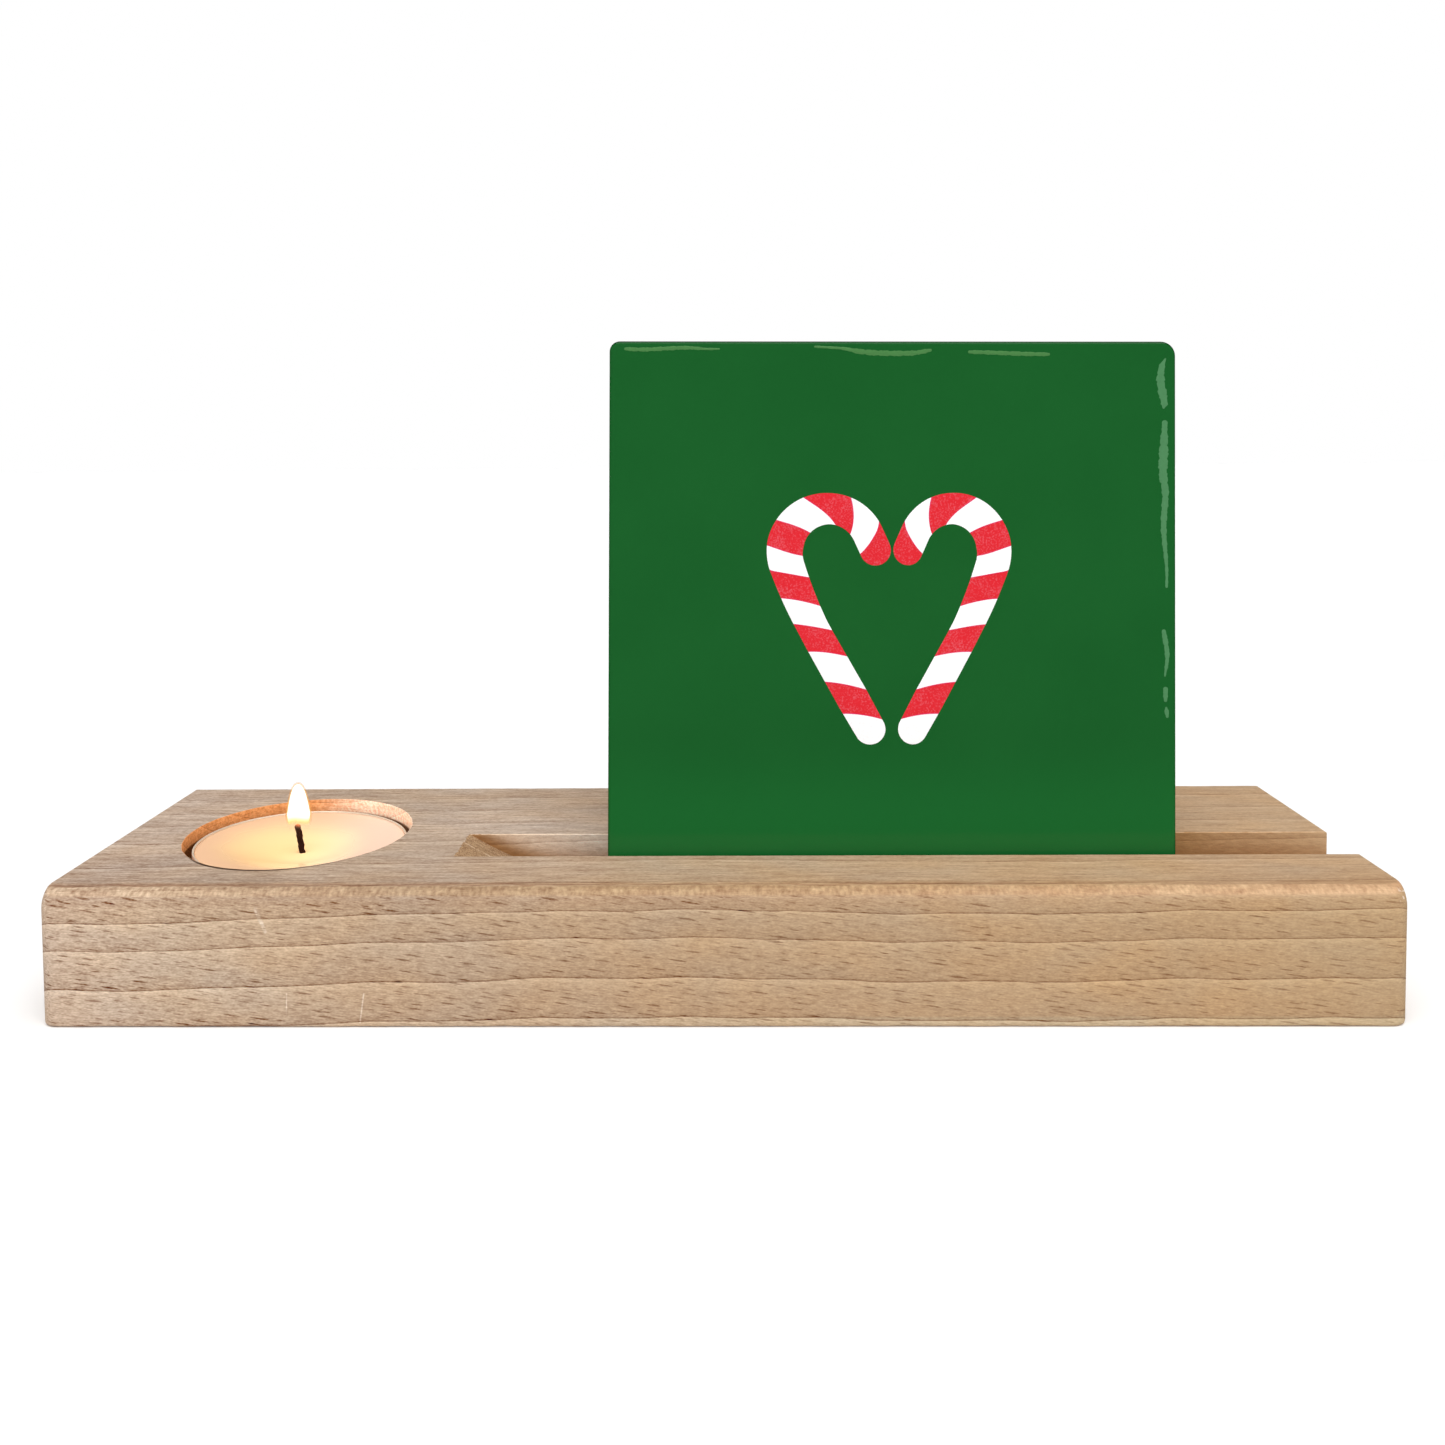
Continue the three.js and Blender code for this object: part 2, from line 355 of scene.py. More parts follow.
# %% Skin a stack of rings
def skin(name, rings, material, smooth_below=40, attributes=None):
    """A closed mesh piece from rings, an array of (ring, point, xyz) in millimetres.

    Point j of ring i joins point j + 1 of the same ring and point j of ring i + 1, and the
    last point of a ring joins its first. A fan to the middle of the ring closes each end.
    An edge sharper than smooth_below degrees stays sharp. attributes holds a value for each
    point of each ring under its name."""
    count, around = rings.shape[:2]
    grid = np.arange(count * around).reshape(count, around)
    beside = np.roll(grid, -1, axis=1)
    quads = np.stack([grid[:-1], beside[:-1], beside[1:], grid[1:]], axis=-1).reshape(-1, 4)
    first_pole, last_pole = count * around, count * around + 1
    first_fan = np.stack([beside[0], grid[0], np.full(around, first_pole)], axis=-1)
    last_fan = np.stack([grid[-1], beside[-1], np.full(around, last_pole)], axis=-1)
    points = np.concatenate([rings.reshape(-1, 3), rings[:1].mean(axis=1), rings[-1:].mean(axis=1)])

    triangles = np.concatenate([quads[:, [0, 1, 2]], quads[:, [0, 2, 3]], first_fan, last_fan])
    corners = points[triangles] - points.mean(axis=0)
    volume = np.einsum("ij,ij->i", corners[:, 0], np.cross(corners[:, 1], corners[:, 2])).sum() / 6
    turn = slice(None, None, -1 if volume < 0 else None)
    faces = [face[turn] for group in (quads, first_fan, last_fan) for face in group.tolist()]

    mesh = bpy.data.meshes.new(name)
    mesh.from_pydata((points * MM).tolist(), [], faces)
    for label, values in (attributes or {}).items():
        ends = [values[0].mean(), values[-1].mean()]
        carried = mesh.attributes.new(label, "FLOAT", "POINT")
        carried.data.foreach_set("value", np.concatenate([values.ravel(), ends]).astype(np.float32))
    mesh.shade_smooth()
    mesh.set_sharp_from_angle(angle=math.radians(smooth_below))
    mesh.materials.append(material)
    piece = add_object(name, mesh)
    print(f"{name}: {len(faces)} faces, {abs(volume):.1f} cubic millimetres")
    return piece

# %% Small shapes that several pieces share
POLE_RADIUS = 0.5


def quarter(steps):
    """Angles from 0 to a right angle, in radians."""
    return np.linspace(0, np.pi / 2, steps + 1)


def wander(along, reach, lengths, seed):
    """An uneven line: the mean of sine waves of the given lengths, in millimetres, each with
    its own start drawn from the seed, times the reach."""
    starts = np.random.default_rng(seed).uniform(0, 2 * np.pi, len(lengths))
    waves = [np.sin(2 * np.pi * along / length + start) for length, start in zip(lengths, starts)]
    return reach * np.mean(waves, axis=0)


def turned_rings(profile, steps):
    """Rings of a turned form: each pair of radius and height becomes a circle about the Z
    axis. A profile starts or ends at POLE_RADIUS, and the skin's fan closes that small hole."""
    radius, height = np.array(profile, float).T
    angle = np.linspace(0, 2 * np.pi, steps, endpoint=False)
    x = radius[:, None] * np.cos(angle)
    y = radius[:, None] * np.sin(angle)
    z = np.repeat(height[:, None], steps, axis=1)
    return np.stack([x, y, z], axis=-1)


print("a quarter turn in 3 steps, in degrees:", np.degrees(quarter(3)))

# %% [markdown]
# ## The beech block
#
# The bar was planed square and its edges were eased by hand: the long front edge a lot, the
# others a little, so no two roundings are alike. A cube with a Bevel would give every edge
# the same radius. Here the bar is a section in Y and Z carried along X. Near the two ends the
# section draws in along a quarter circle on each side, by that side's own radius.

# %% Sizes of the block, from its solid
block_low, block_high = (np.array(corner_shade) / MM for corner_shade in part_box("block"))
LEFT, FRONT, BOTTOM = block_low.tolist()
RIGHT, BACK, TOP = block_high.tolist()

EASE_FRONT_TOP = 3.2
EASE_BACK_TOP = 0.5
EASE_BOTTOM = 0.6
EASE_FRONT_CORNER = 3.0
EASE_BACK_CORNER = 0.5
EASE_END_TOP = 0.4
print("block from", block_low.round(2), "to", block_high.round(2))

# %% Rings of the block
FLAT_RIM = 0.4
STATION_STEP = 0.8


def drawn_in(depth, radius):
    """How far a side has drawn in at a depth behind the end face: radius minus the height of
    a circle of that radius, and nothing past the rounding."""
    inside = np.clip(radius - depth, 0, None)
    return radius - np.sqrt(radius**2 - inside**2)


def rounded_section(low, high, radii, flats=7):
    """Closed outlines of rectangles with a quarter circle at each corner.

    low and high are arrays of (ring, 2) and radii is (ring, 4), for the corners low-low,
    high-low, high-high and low-high. Each flat has a point FLAT_RIM from either end, so that
    shading turns only on the roundings, and others evenly between."""
    corner_high = np.array([[0, 0], [1, 0], [1, 1], [0, 1]])
    turns = quarter(8)
    arcs = []
    for number, sides in enumerate(corner_high):
        radius = radii[:, number]
        centre = np.where(sides, high - radius[:, None], low + radius[:, None])
        angle = turns + np.pi + number * np.pi / 2
        circle = np.stack([np.cos(angle), np.sin(angle)], axis=-1)
        arcs.append(centre[:, None] + radius[:, None, None] * circle)
    outline = []
    for number, arc in enumerate(arcs):
        start, end = arc[:, -1:], arcs[(number + 1) % 4][:, :1]
        length = np.linalg.norm(end - start, axis=-1, keepdims=True)
        rim = np.minimum(FLAT_RIM / np.maximum(length, 0.01), 0.2)
        even = np.linspace(0, 1, flats)[None, :, None]
        outline.extend([arc, start + (end - start) * (rim + (1 - 2 * rim) * even)])
    return np.concatenate(outline, axis=1)


end_depths = EASE_FRONT_CORNER * (1 - np.cos(quarter(12)))
middle = np.arange(LEFT + EASE_FRONT_CORNER + 0.5, RIGHT - EASE_FRONT_CORNER, STATION_STEP)
stations = np.concatenate([LEFT + end_depths, middle, (RIGHT - end_depths)[::-1]])
depth = np.minimum(stations - LEFT, RIGHT - stations)

front_side = FRONT + drawn_in(depth, EASE_FRONT_CORNER)
back_side = BACK - drawn_in(depth, EASE_BACK_CORNER)
underside = BOTTOM + drawn_in(depth, EASE_BOTTOM)
top_side = TOP - drawn_in(depth, EASE_END_TOP)
front_top = EASE_FRONT_TOP + wander(stations, 0.35, (70, 31, 13, 5.5), seed=3)
back_top = EASE_BACK_TOP + wander(stations, 0.12, (50, 17, 6), seed=4)
bottom = EASE_BOTTOM + wander(stations, 0.15, (60, 21, 8), seed=5)
low_corner = np.stack([front_side, underside], axis=-1)
high_corner = np.stack([back_side, top_side], axis=-1)
radii = np.stack([bottom, bottom, back_top, front_top], axis=-1)
section = rounded_section(low_corner, high_corner, radii)
along_bar = np.broadcast_to(stations[:, None, None], section.shape[:2] + (1,))
block_rings = np.concatenate([along_bar, section], axis=-1)
print("block rings:", block_rings.shape)

# %% [markdown]
# ## What the drill and the saw took out
#
# The recess is a drilled cylinder. The slot is a saw cut that came in from the right end and
# stopped short, so its floor climbs out along the blade's circle, and the teeth left fine
# ridges there. Both are cut with a Boolean, because the block's own rings can't follow two
# unlike hollows. Each cutter flares by a tenth of a millimetre or so at the top face, which
# softens the arris of the cut. The cut faces keep the cutter's own material.

# %% Places of the recess and the slot
RECESS_RADIUS = 20
RECESS_X = LEFT + 31.8
RECESS_Y = FRONT + 30.7
RECESS_FLOOR = TOP - 17
RECESS_LIP = 0.07
SLOT_FRONT = FRONT + 17
SLOT_BACK = SLOT_FRONT + 11.7
SLOT_FLOOR = TOP - 10.8
SLOT_LIP = 0.15
RUN_OUT_X = LEFT + 63.6
BLADE_RADIUS = 75
BLADE_CENTRE_Z = SLOT_FLOOR + BLADE_RADIUS
BLADE_CENTRE_X = RUN_OUT_X + math.sqrt(BLADE_RADIUS**2 - (BLADE_CENTRE_Z - TOP) ** 2)
TILE_CENTRE_X = 29.95
OVERCUT = 4
print(f"recess {TOP - RECESS_FLOOR:.1f} mm deep, slot {TOP - SLOT_FLOOR:.1f} mm deep")
print(f"the saw climbs out over {BLADE_CENTRE_X - RUN_OUT_X:.1f} mm")

# %% Cutter of the recess
def recess_rings():
    """A turned cylinder whose wall flares outwards by the lip, along a quarter circle, just
    under the block's top. A slow wander on the lip keeps the drilled edge from being perfect."""
    flare = quarter(5)
    lip_radius = RECESS_RADIUS + RECESS_LIP * (1 - np.cos(flare))
    lip_height = TOP - RECESS_LIP + RECESS_LIP * np.sin(flare)
    wall = [(RECESS_RADIUS, height) for height in np.linspace(RECESS_FLOOR, TOP - RECESS_LIP, 12)]
    profile = [(POLE_RADIUS, RECESS_FLOOR)] + wall + list(zip(lip_radius[1:], lip_height[1:]))
    profile += [(RECESS_RADIUS + RECESS_LIP, TOP + OVERCUT), (POLE_RADIUS, TOP + OVERCUT)]
    rings = turned_rings(profile, steps=192)
    angle = np.arctan2(rings[..., 1], rings[..., 0])
    near_top = np.clip((rings[..., 2] - TOP + 2 * RECESS_LIP) / RECESS_LIP, 0, 1)
    uneven = 1 + near_top * wander(angle * RECESS_RADIUS, 0.004, (29, 11, 3.7), seed=8)
    rings[..., :2] *= uneven[..., None]
    return rings + [RECESS_X, RECESS_Y, 0]


print("recess cutter rings:", recess_rings().shape)

# %% Cutter of the slot
RIDGE_REACH = 0.16
RIDGE_LENGTHS = (1.3, 2.9, 0.83, 4.7)
RIDGE_START = 12


def slot_rings(floor_steps=40, climb_steps=90, width_steps=79):
    """The slot's outline in X and Z, repeated at stations across the slot's width.

    The lower side runs along the floor and climbs the blade's circle. Across the width it is
    raised and lowered by the ridges that the teeth left, which reach their full height
    RIDGE_START past the foot of the climb. In the lip it is no deeper than a quarter circle
    under the top face."""
    climb = math.acos((BLADE_CENTRE_Z - TOP - OVERCUT) / BLADE_RADIUS)
    angle = np.linspace(0, climb, climb_steps)
    floor_x = np.linspace(RIGHT + OVERCUT, BLADE_CENTRE_X + 1, floor_steps)
    floor_z = np.full(floor_steps, SLOT_FLOOR)
    x = np.concatenate([floor_x, BLADE_CENTRE_X - BLADE_RADIUS * np.sin(angle)])
    z = np.concatenate([floor_z, BLADE_CENTRE_Z - BLADE_RADIUS * np.cos(angle)])

    lip_in = SLOT_LIP * (1 - np.sin(quarter(5)))
    between_walls = np.linspace(SLOT_FRONT, SLOT_BACK, width_steps)
    across = np.concatenate([SLOT_FRONT - lip_in, between_walls, SLOT_BACK + lip_in[::-1]])
    from_wall = np.maximum(SLOT_FRONT - across, across - SLOT_BACK)
    lip_depth = np.sqrt(np.clip(SLOT_LIP**2 - np.clip(from_wall, 0, None) ** 2, 0, None))
    in_lip = np.ones(len(across), bool)
    in_lip[len(lip_in):-len(lip_in)] = False
    ridges = wander(across, RIDGE_REACH, RIDGE_LENGTHS, seed=21)
    climbing = np.clip((BLADE_CENTRE_X - x) / RIDGE_START, 0, 1)
    lower = z + ridges[:, None] * climbing
    lower = np.where(in_lip[:, None], np.maximum(lower, TOP - lip_depth[:, None]), lower)
    upper = np.full_like(lower, TOP + OVERCUT + 1)
    outline_x = np.broadcast_to(np.concatenate([x, x[::-1]]), (len(across), 2 * len(x)))
    outline_z = np.concatenate([lower, upper], axis=1)
    outline_y = np.broadcast_to(across[:, None], outline_x.shape)
    return np.stack([outline_x, outline_y, outline_z], axis=-1)


print("slot cutter rings:", slot_rings().shape)

# %% [markdown]
# ## How beech looks
#
# Beech shows three things on a planed face: growth lines, each dark on one side and pale on
# the other; short dark flecks, where the wood's rays come to the surface; and fine fibres
# along the bar. The lines are sheets that lean through the whole bar, so one formula of the
# height and the depth draws them on every side, and they meet at the edges as in real wood.
# A Wave texture would space them evenly. Real ones aren't even, so the heights are a list.

# %% Growth lines
RING_HEIGHTS = [-5.0, 1.6, 8.0, 14.5, 19.0, 24.6, 30.7, 37.8, 43.6, 48.2, 53.0, 59.0, 66.0]
RING_SLOPE = 0.6
RING_DROP = 2.0
DROP_SHAPE = [(0.0, 1.0), (0.25, 0.4), (0.5, 0.0), (0.7, 0.28), (1.0, 0.05)]
RING_PROFILE = [(0.0, 0.0), (0.03, 0.02), (0.045, 0.34), (0.14, 0.43), (0.45, 0.5), (0.7, 0.53),
                (0.86, 0.61), (0.95, 0.73), (1.0, 0.86)]


def growth_lines(recipe, place):
    """The tone of the wood between growth lines: 0 in the dark line, then about 0.5, and 0.86
    in the pale band just under the next line.

    A ring's height is z, plus the slope times the depth behind the front, plus a drop that
    depends on x, plus a slow and a quick noise. A ramp turns that height into a ring number, whose
    fraction says how far up its ring the point is, and a second ramp gives the tone."""
    x, y, z = recipe.split(place)
    drop = recipe.ramp(recipe.share(x, LEFT, RIGHT), DROP_SHAPE, "CARDINAL") * RING_DROP
    slow = recipe.waver(place, (0.05, 0.03, 0.03), detail=1.0) * 1.6
    quick = recipe.waver(place, (0.35, 0.3, 0.3), detail=1.0) * 0.14
    height = z + (y - FRONT) * RING_SLOPE + drop + slow + quick
    lowest, highest = RING_HEIGHTS[0], RING_HEIGHTS[-1]
    rings = len(RING_HEIGHTS) - 1
    stops = [((level - lowest) / (highest - lowest), number / rings)
             for number, level in enumerate(RING_HEIGHTS)]
    number = recipe.ramp(recipe.share(height, lowest, highest), stops) * rings
    return recipe.ramp(recipe.maths("FRACT", number), RING_PROFILE)


print("growth lines:", len(RING_HEIGHTS), "at", np.diff(RING_HEIGHTS).mean().round(1), "mm on average")

# %% Ray flecks
SHORTEST_DASH = 0.18
DASH_STRETCH = 0.26
THINNEST_DASH = 0.125
DASH_SWELL = 0.08
ROW_SLIDE = 9


def ray_flecks(recipe, along, across, cell, share, tilt, seed):
    """Lens-shaped dashes on a flat face: up to 1 in a dash, 0 outside.

    The face is turned by the tilt and cut into rows of cells, of the given length and
    height. A random number slides each row, so that the cells of two rows don't line up.
    Four more, drawn for each cell, place a dash in it, give it a size, and leave it out
    unless its draw is under the share. A dash is where 1, minus the squared distance along it
    in half lengths, minus the distance across it in half heights, is above 0. Both halves are
    shares of the cell, and grow with the size. A dash is fainter the nearer its draw comes to
    the share."""
    flat = recipe.joined(along, across)
    turn = {"Vector": flat, "Angle": math.radians(tilt)}
    turned = recipe.node("VectorRotate", {"rotation_type": "Z_AXIS"}, turn)
    u, v, _ = recipe.split(recipe.stretched(turned, (1 / cell[0], 1 / cell[1], 1)))
    row = recipe.maths("FLOOR", v) + seed
    u = u + recipe.node("TexWhiteNoise", {"noise_dimensions": "1D"}, {"W": row}) * ROW_SLIDE
    place = recipe.joined(recipe.maths("FLOOR", u), row)
    rise = recipe.node("TexWhiteNoise", {"noise_dimensions": "2D"}, {"Vector": place})
    size, slide, chance = recipe.split(rise.also("Color"))
    half = SHORTEST_DASH + size * DASH_STRETCH
    from_middle = recipe.maths("FRACT", u) - 0.5 - (slide - 0.5) * (0.9 - half * 2)
    from_line = abs(recipe.maths("FRACT", v) - 0.5 - (rise - 0.5) * 0.4)
    reach = from_middle / half
    inside = 1 - reach * reach - from_line / (THINNEST_DASH + size * DASH_SWELL)
    present = recipe.maths("LESS_THAN", chance, share) * (1 - chance * (0.45 / share))
    return recipe.ease(inside, 0, 0.3) * present


print(f"a fleck is {2 * SHORTEST_DASH:.2f} to {2 * (SHORTEST_DASH + DASH_STRETCH):.2f} of its cell long")

# %% Colour of bare beech
BEECH_ALONG = [(0.0, (199, 173, 150)), (0.1, (193, 167, 141)), (0.3, (185, 157, 129)),
               (0.5, (184, 153, 120)), (1.0, (185, 152, 113))]
# The top's tone holds painted light: cooler for the sky above, and lighter where the tile stands, against
# its shade.
TOP_TONE_AND_LIGHT_ALONG = [(0.04, (191, 167, 147)), (0.15, (183, 158, 135)), (0.27, (189, 165, 143)),
             (0.45, (191, 163, 136)), (0.75, (197, 163, 129)), (1.0, (193, 161, 127))]
CLARITY_ALONG = [(0.0, 1.0), (0.3, 0.8), (0.55, 0.64), (1.0, 0.5)]
# Painted light behind the slot, left of the tile: where it fades in and out along the bar.
LIT_PATCH_LEFT = (-60, -46)
LIT_PATCH_RIGHT = (0, -10)
FACES_IT = (0.5, 0.8)
LEANS_TO_IT = (0.15, 0.4)
FIBRE_LEAN = 0.1
# How the painted light behind the slot shifts the colour.
PAINTED_LIGHT_CAST = (0.12, 0.17, 0.25)
STRIP_CAST = (-0.03, -0.05, -0.07)
HUE_CAST = (0.12, -0.02, -0.24)
DARK_CAST = (0.8, 1.0, 1.13)


def tinted(recipe, colour, amount, cast):
    """A colour moved by an amount: each channel is multiplied by 1 plus the amount times the
    cast of that channel."""
    change = recipe.scaled(cast, amount)
    return recipe.node("VectorMath", {"operation": "MULTIPLY_ADD"}, {0: colour, 1: change, 2: colour})


def beech_figure(recipe, place, facing, clarity):
    """Growth lines and fibres as one signal, which makes the surface paler (above 0) or
    darker, and flecks as another, which darkens it. facing holds how far the surface faces an
    end, a side, and up or down. Long strands show on the upper faces, where the growth lines
    are fainter, and the ends, the sides and the top have flecks of their own."""
    x, y, z = recipe.split(place)
    to_end, to_side, upward = facing
    lines = (growth_lines(recipe, place) - 0.5) * (0.55 + clarity * 0.55) * (1 - upward * 0.45)
    leaning = recipe.joined(x, y, z + x * FIBRE_LEAN)
    fibre = recipe.waver(leaning, (0.8, 5.0, 5.0), detail=0.0) * 0.75
    grain = recipe.waver(place, (2.4, 5.0, 5.0), detail=0.0) * 0.6
    glints = recipe.ease(recipe.noise(place, (2.4, 3.6, 3.6), detail=1.0), 0.62, 0.78) * 0.12
    strands = recipe.waver(place, (0.15, 1.8, 1.8)) * upward * 1.4
    streak = recipe.waver(place, (0.08, 0.9, 0.9)) * 0.06
    cloud = recipe.waver(place, (0.05, 0.16, 0.16), detail=1.0) * clarity * 0.22
    figure = (fibre + grain + glints + strands + streak + cloud) * clarity
    long_flecks = ray_flecks(recipe, x, z, cell=(4.4, 0.85), share=0.42, tilt=8, seed=3) * 0.68
    short_flecks = ray_flecks(recipe, x, z, cell=(2.3, 0.6), share=0.24, tilt=9, seed=70) * 0.46
    top_flecks = ray_flecks(recipe, x, y, cell=(3.4, 0.6), share=0.35, tilt=2, seed=140) * 0.32
    end_flecks = ray_flecks(recipe, y, z, cell=(0.9, 0.4), share=0.4, tilt=-31, seed=210) * 0.35
    flecks = (long_flecks + short_flecks) * to_side + end_flecks * to_end
    flecks = flecks + top_flecks * (1 - to_side) * (1 - to_end)
    return lines + figure, flecks * (0.3 + clarity * 0.7)


def beech_body(recipe, place, facing, fleck_share=1.0):
    """Everything that all cuts of the beech share, as the base colour and the departure.

    The figure is clearest at the left end. The top face has a tone of its own, partly the
    wood and partly painted light: cooler and greyer for the sky above it, and lighter where the
    tile stands, against the shade the tile casts. It is paler still in a patch behind the slot,
    painted light against the tile's shade there, and browner in a strip along the front, and
    pinkish and olive patches drift through the whole."""
    x, y, z = recipe.split(place)
    across_bar = recipe.share(x, LEFT, RIGHT)
    to_end, to_side = (recipe.ease(part, *FACES_IT) for part in facing[:2])
    upward = recipe.ease(facing[2], 0.5, 0.9)
    clarity = recipe.ramp(across_bar, CLARITY_ALONG)
    figure, flecks = beech_figure(recipe, place, (to_end, to_side, upward), clarity)

    # Painted light: a paler patch on the top behind the slot, left of the tile, against the tile's shade.
    at_back = recipe.ease(y, RECESS_Y + 6, RECESS_Y + 16) * 0.8
    lit_behind_slot = recipe.ease(y, RECESS_Y - 6, RECESS_Y) * (1 - at_back)
    lit_behind_slot = lit_behind_slot * recipe.ease(x, *LIT_PATCH_LEFT) * recipe.ease(x, *LIT_PATCH_RIGHT)
    front_strip = recipe.ease(y, RECESS_Y - 14, RECESS_Y - 18)
    # The top takes its own tone, which has painted light in it.
    top_tone_and_light = tinted(recipe, recipe.tones(across_bar, TOP_TONE_AND_LIGHT_ALONG), lit_behind_slot, PAINTED_LIGHT_CAST)
    top_tone_and_light = tinted(recipe, top_tone_and_light, front_strip, STRIP_CAST)
    colour = recipe.mix(upward, recipe.tones(across_bar, BEECH_ALONG), top_tone_and_light)
    patches = recipe.waver(place, (0.07, 0.15, 0.15), detail=1.0)
    return tinted(recipe, colour, patches, HUE_CAST), figure - flecks * fleck_share


def facing_axes(recipe):
    """How far the surface faces along each axis, first without and then with its sign. An
    ease over FACES_IT or LEANS_TO_IT makes a mask of it."""
    normal = recipe.split(recipe.node("TexCoord", output="Normal"))
    return [abs(part) for part in normal], normal


print("beech from", BEECH_ALONG[0][1], "at the left to", BEECH_ALONG[-1][1], "at the right")

# %% [markdown]
# ## Three cuts of the same wood
#
# The outside was planed and sanded, the slot was sawn and the recess was bored, and each tool
# left marks of its own. Three separate patterns would not meet where the cuts do. So every
# finish starts from the shared beech and lays its own tool's marks over it, with masks made
# from the place and from the way the surface faces.

# %% Knocks and scratches
SCRATCHES = [((-73.9, 19.4), (-72.4, 15.7), 0.42), ((-69.2, 5.6), (-69.3, 2.1), 0.13),
             ((-56.8, 5.5), (-57.5, 0.8), 0.16)]


def scratches(recipe, x, z):
    """Short pale marks on the front, 1 on a mark. Each is a line between two places with a
    width: the distance to it comes from the place along it, held between its ends."""
    marks = 0.0
    for start, end, width in SCRATCHES:
        run, rise = end[0] - start[0], end[1] - start[1]
        from_x, from_z = x - start[0], z - start[1]
        along = (from_x * run + from_z * rise) * (1 / (run * run + rise * rise))
        held = recipe.maths("MINIMUM", recipe.maths("MAXIMUM", along, 0.0), 1.0)
        gap = recipe.distance(from_x - held * run, from_z - held * rise)
        marks = marks + recipe.ease(gap, width, width * 0.3)
    return marks


print("scratches in mm:", [round(math.dist(start, end), 1) for start, end, _ in SCRATCHES])

# %% Sanded front edge
SANDED_ALONG = [(0.0, (198, 167, 137)), (0.3, (172, 138, 102)), (0.6, (184, 147, 107)),
                (1.0, (214, 172, 131))]
SANDED_CAST = (0.5, 0.75, 0.9)
SEAM_Y = FRONT + 3.5


def sanded_edge(recipe, place, normal, colour, departure):
    """The eased front edge, as a new colour and departure. Its upper half shows the cross
    marks of hand sanding, which are strongest at the left. A soft brown border lies where it
    meets the top face, and in that a thin dark seam, which wavers and fades to the right.
    The lower half is a little darker."""
    x, y, z = recipe.split(place)
    across_bar = recipe.share(x, LEFT, RIGHT)
    forward = normal[1] * -1
    chatter = recipe.waver(place, (1.5, 0.9, 0.9), detail=3.0)
    patch = recipe.waver(place, (0.22, 0.4, 0.4))
    upper_arc = recipe.ease(forward, 0.03, 0.16) * recipe.ease(normal[2], 0.62, 0.8)
    lower_arc = recipe.ease(normal[2], *LEANS_TO_IT) * recipe.ease(forward, 0.3, 0.6) * (1 - upper_arc)
    sanded = tinted(recipe, recipe.tones(across_bar, SANDED_ALONG), patch, SANDED_CAST)
    colour = recipe.mix(upper_arc * 0.8, colour, sanded)

    border = recipe.ease(y + patch * 1.6, SEAM_Y + 1.7, SEAM_Y + 0.6)
    border = border * recipe.ease(z, TOP - 0.3, TOP - 0.05) * (1 - upper_arc)
    colour = recipe.mix(border * 0.4, colour, (170, 126, 86))
    from_seam = abs(y + patch * 2.4 - SEAM_Y)
    seam = recipe.ease(from_seam, 0.5, 0.1) * recipe.ease(z, TOP - 0.5, TOP - 0.15)
    colour = recipe.mix(seam * (0.45 - recipe.ease(x, 30, 70) * 0.38), colour, (138, 90, 56))

    sanding = upper_arc * chatter * (1.9 - across_bar * 0.9)
    departure = departure * (1 - upper_arc * 0.5) + sanding
    return colour, departure - lower_arc * (0.26 - across_bar * 0.24)

# %% Dark line round the recess
DARK_LINE_WIDTH = 0.75


def dark_recess_line(recipe, place, colour):
    """The colour with a dark line round the front half of the recess. It is widest at the
    very front and fainter to the right of it."""
    x, y, z = recipe.split(place)
    from_axis = recipe.distance(x - RECESS_X, y - RECESS_Y)
    to_front = recipe.ease(y, RECESS_Y - 12, RECESS_Y - 19)
    dark_line_radius = RECESS_RADIUS + DARK_LINE_WIDTH * (0.15 + to_front * 0.85)
    dark_line = recipe.ease(from_axis - dark_line_radius, 0.0, -0.2) * recipe.ease(y, RECESS_Y, RECESS_Y - 8)
    dark_line = dark_line * (1 - recipe.ease(x, RECESS_X + 2, RECESS_X + 14) * 0.6)
    return recipe.mix(dark_line * (0.6 + to_front * 0.35), colour, (62, 36, 14))

# %% Planed finish, for the outside
OLIVE_CAST = (0.02, 0.12, 0.22)


def planed_beech():
    """Bare planed beech. The lowest strip of the front is a little paler towards the right,
    the arrises of the ends are dotted with pale chips, and a few knocks left pale marks on
    the front."""
    recipe, place = new_finish("beech_planed")
    x, y, z = recipe.split(place)
    facing, normal = facing_axes(recipe)
    forward = normal[1] * -1
    colour, departure = beech_body(recipe, place, facing)
    lowest = recipe.ease(z, 2.0, 1.4) * recipe.ease(x, -60, 20) * recipe.ease(forward, *FACES_IT)
    colour = tinted(recipe, colour, lowest, OLIVE_CAST)
    colour, departure = sanded_edge(recipe, place, normal, colour, departure)
    colour = dark_recess_line(recipe, place, colour)
    specks = recipe.ease(recipe.noise(place, 1.1, detail=3.0), 0.6, 0.66)
    chips = recipe.ease(facing[0], *LEANS_TO_IT) * recipe.ease(normal[2], *LEANS_TO_IT) * specks
    scuffed = recipe.ease(recipe.noise(place, 0.9), 0.42, 0.62)
    marks = scratches(recipe, x, z) * recipe.ease(forward, 0.8, 0.95) * (0.3 + scuffed * 0.7)
    colour = recipe.mix(chips * 0.7 + marks * 0.62, colour, (236, 220, 202))
    bump = relief(recipe, departure * 0.5, 0.015)
    return close_finish(recipe, Base_Color=tinted(recipe, colour, departure, DARK_CAST),
                        Roughness=0.62, Specular_IOR_Level=0.3, Normal=bump)


planed = planed_beech()

# %% Sawn finish, for the slot
# The wall's tone along the slot, with painted light: palest just left of the tile, against its shade.
WALL_TONE_AND_LIGHT_ALONG = [(0.0, (242, 208, 174)), (0.16, (255, 238, 220)), (0.3, (238, 204, 168)),
              (0.8, (196, 146, 90)), (0.88, (208, 164, 118)), (1.0, (204, 168, 128))]


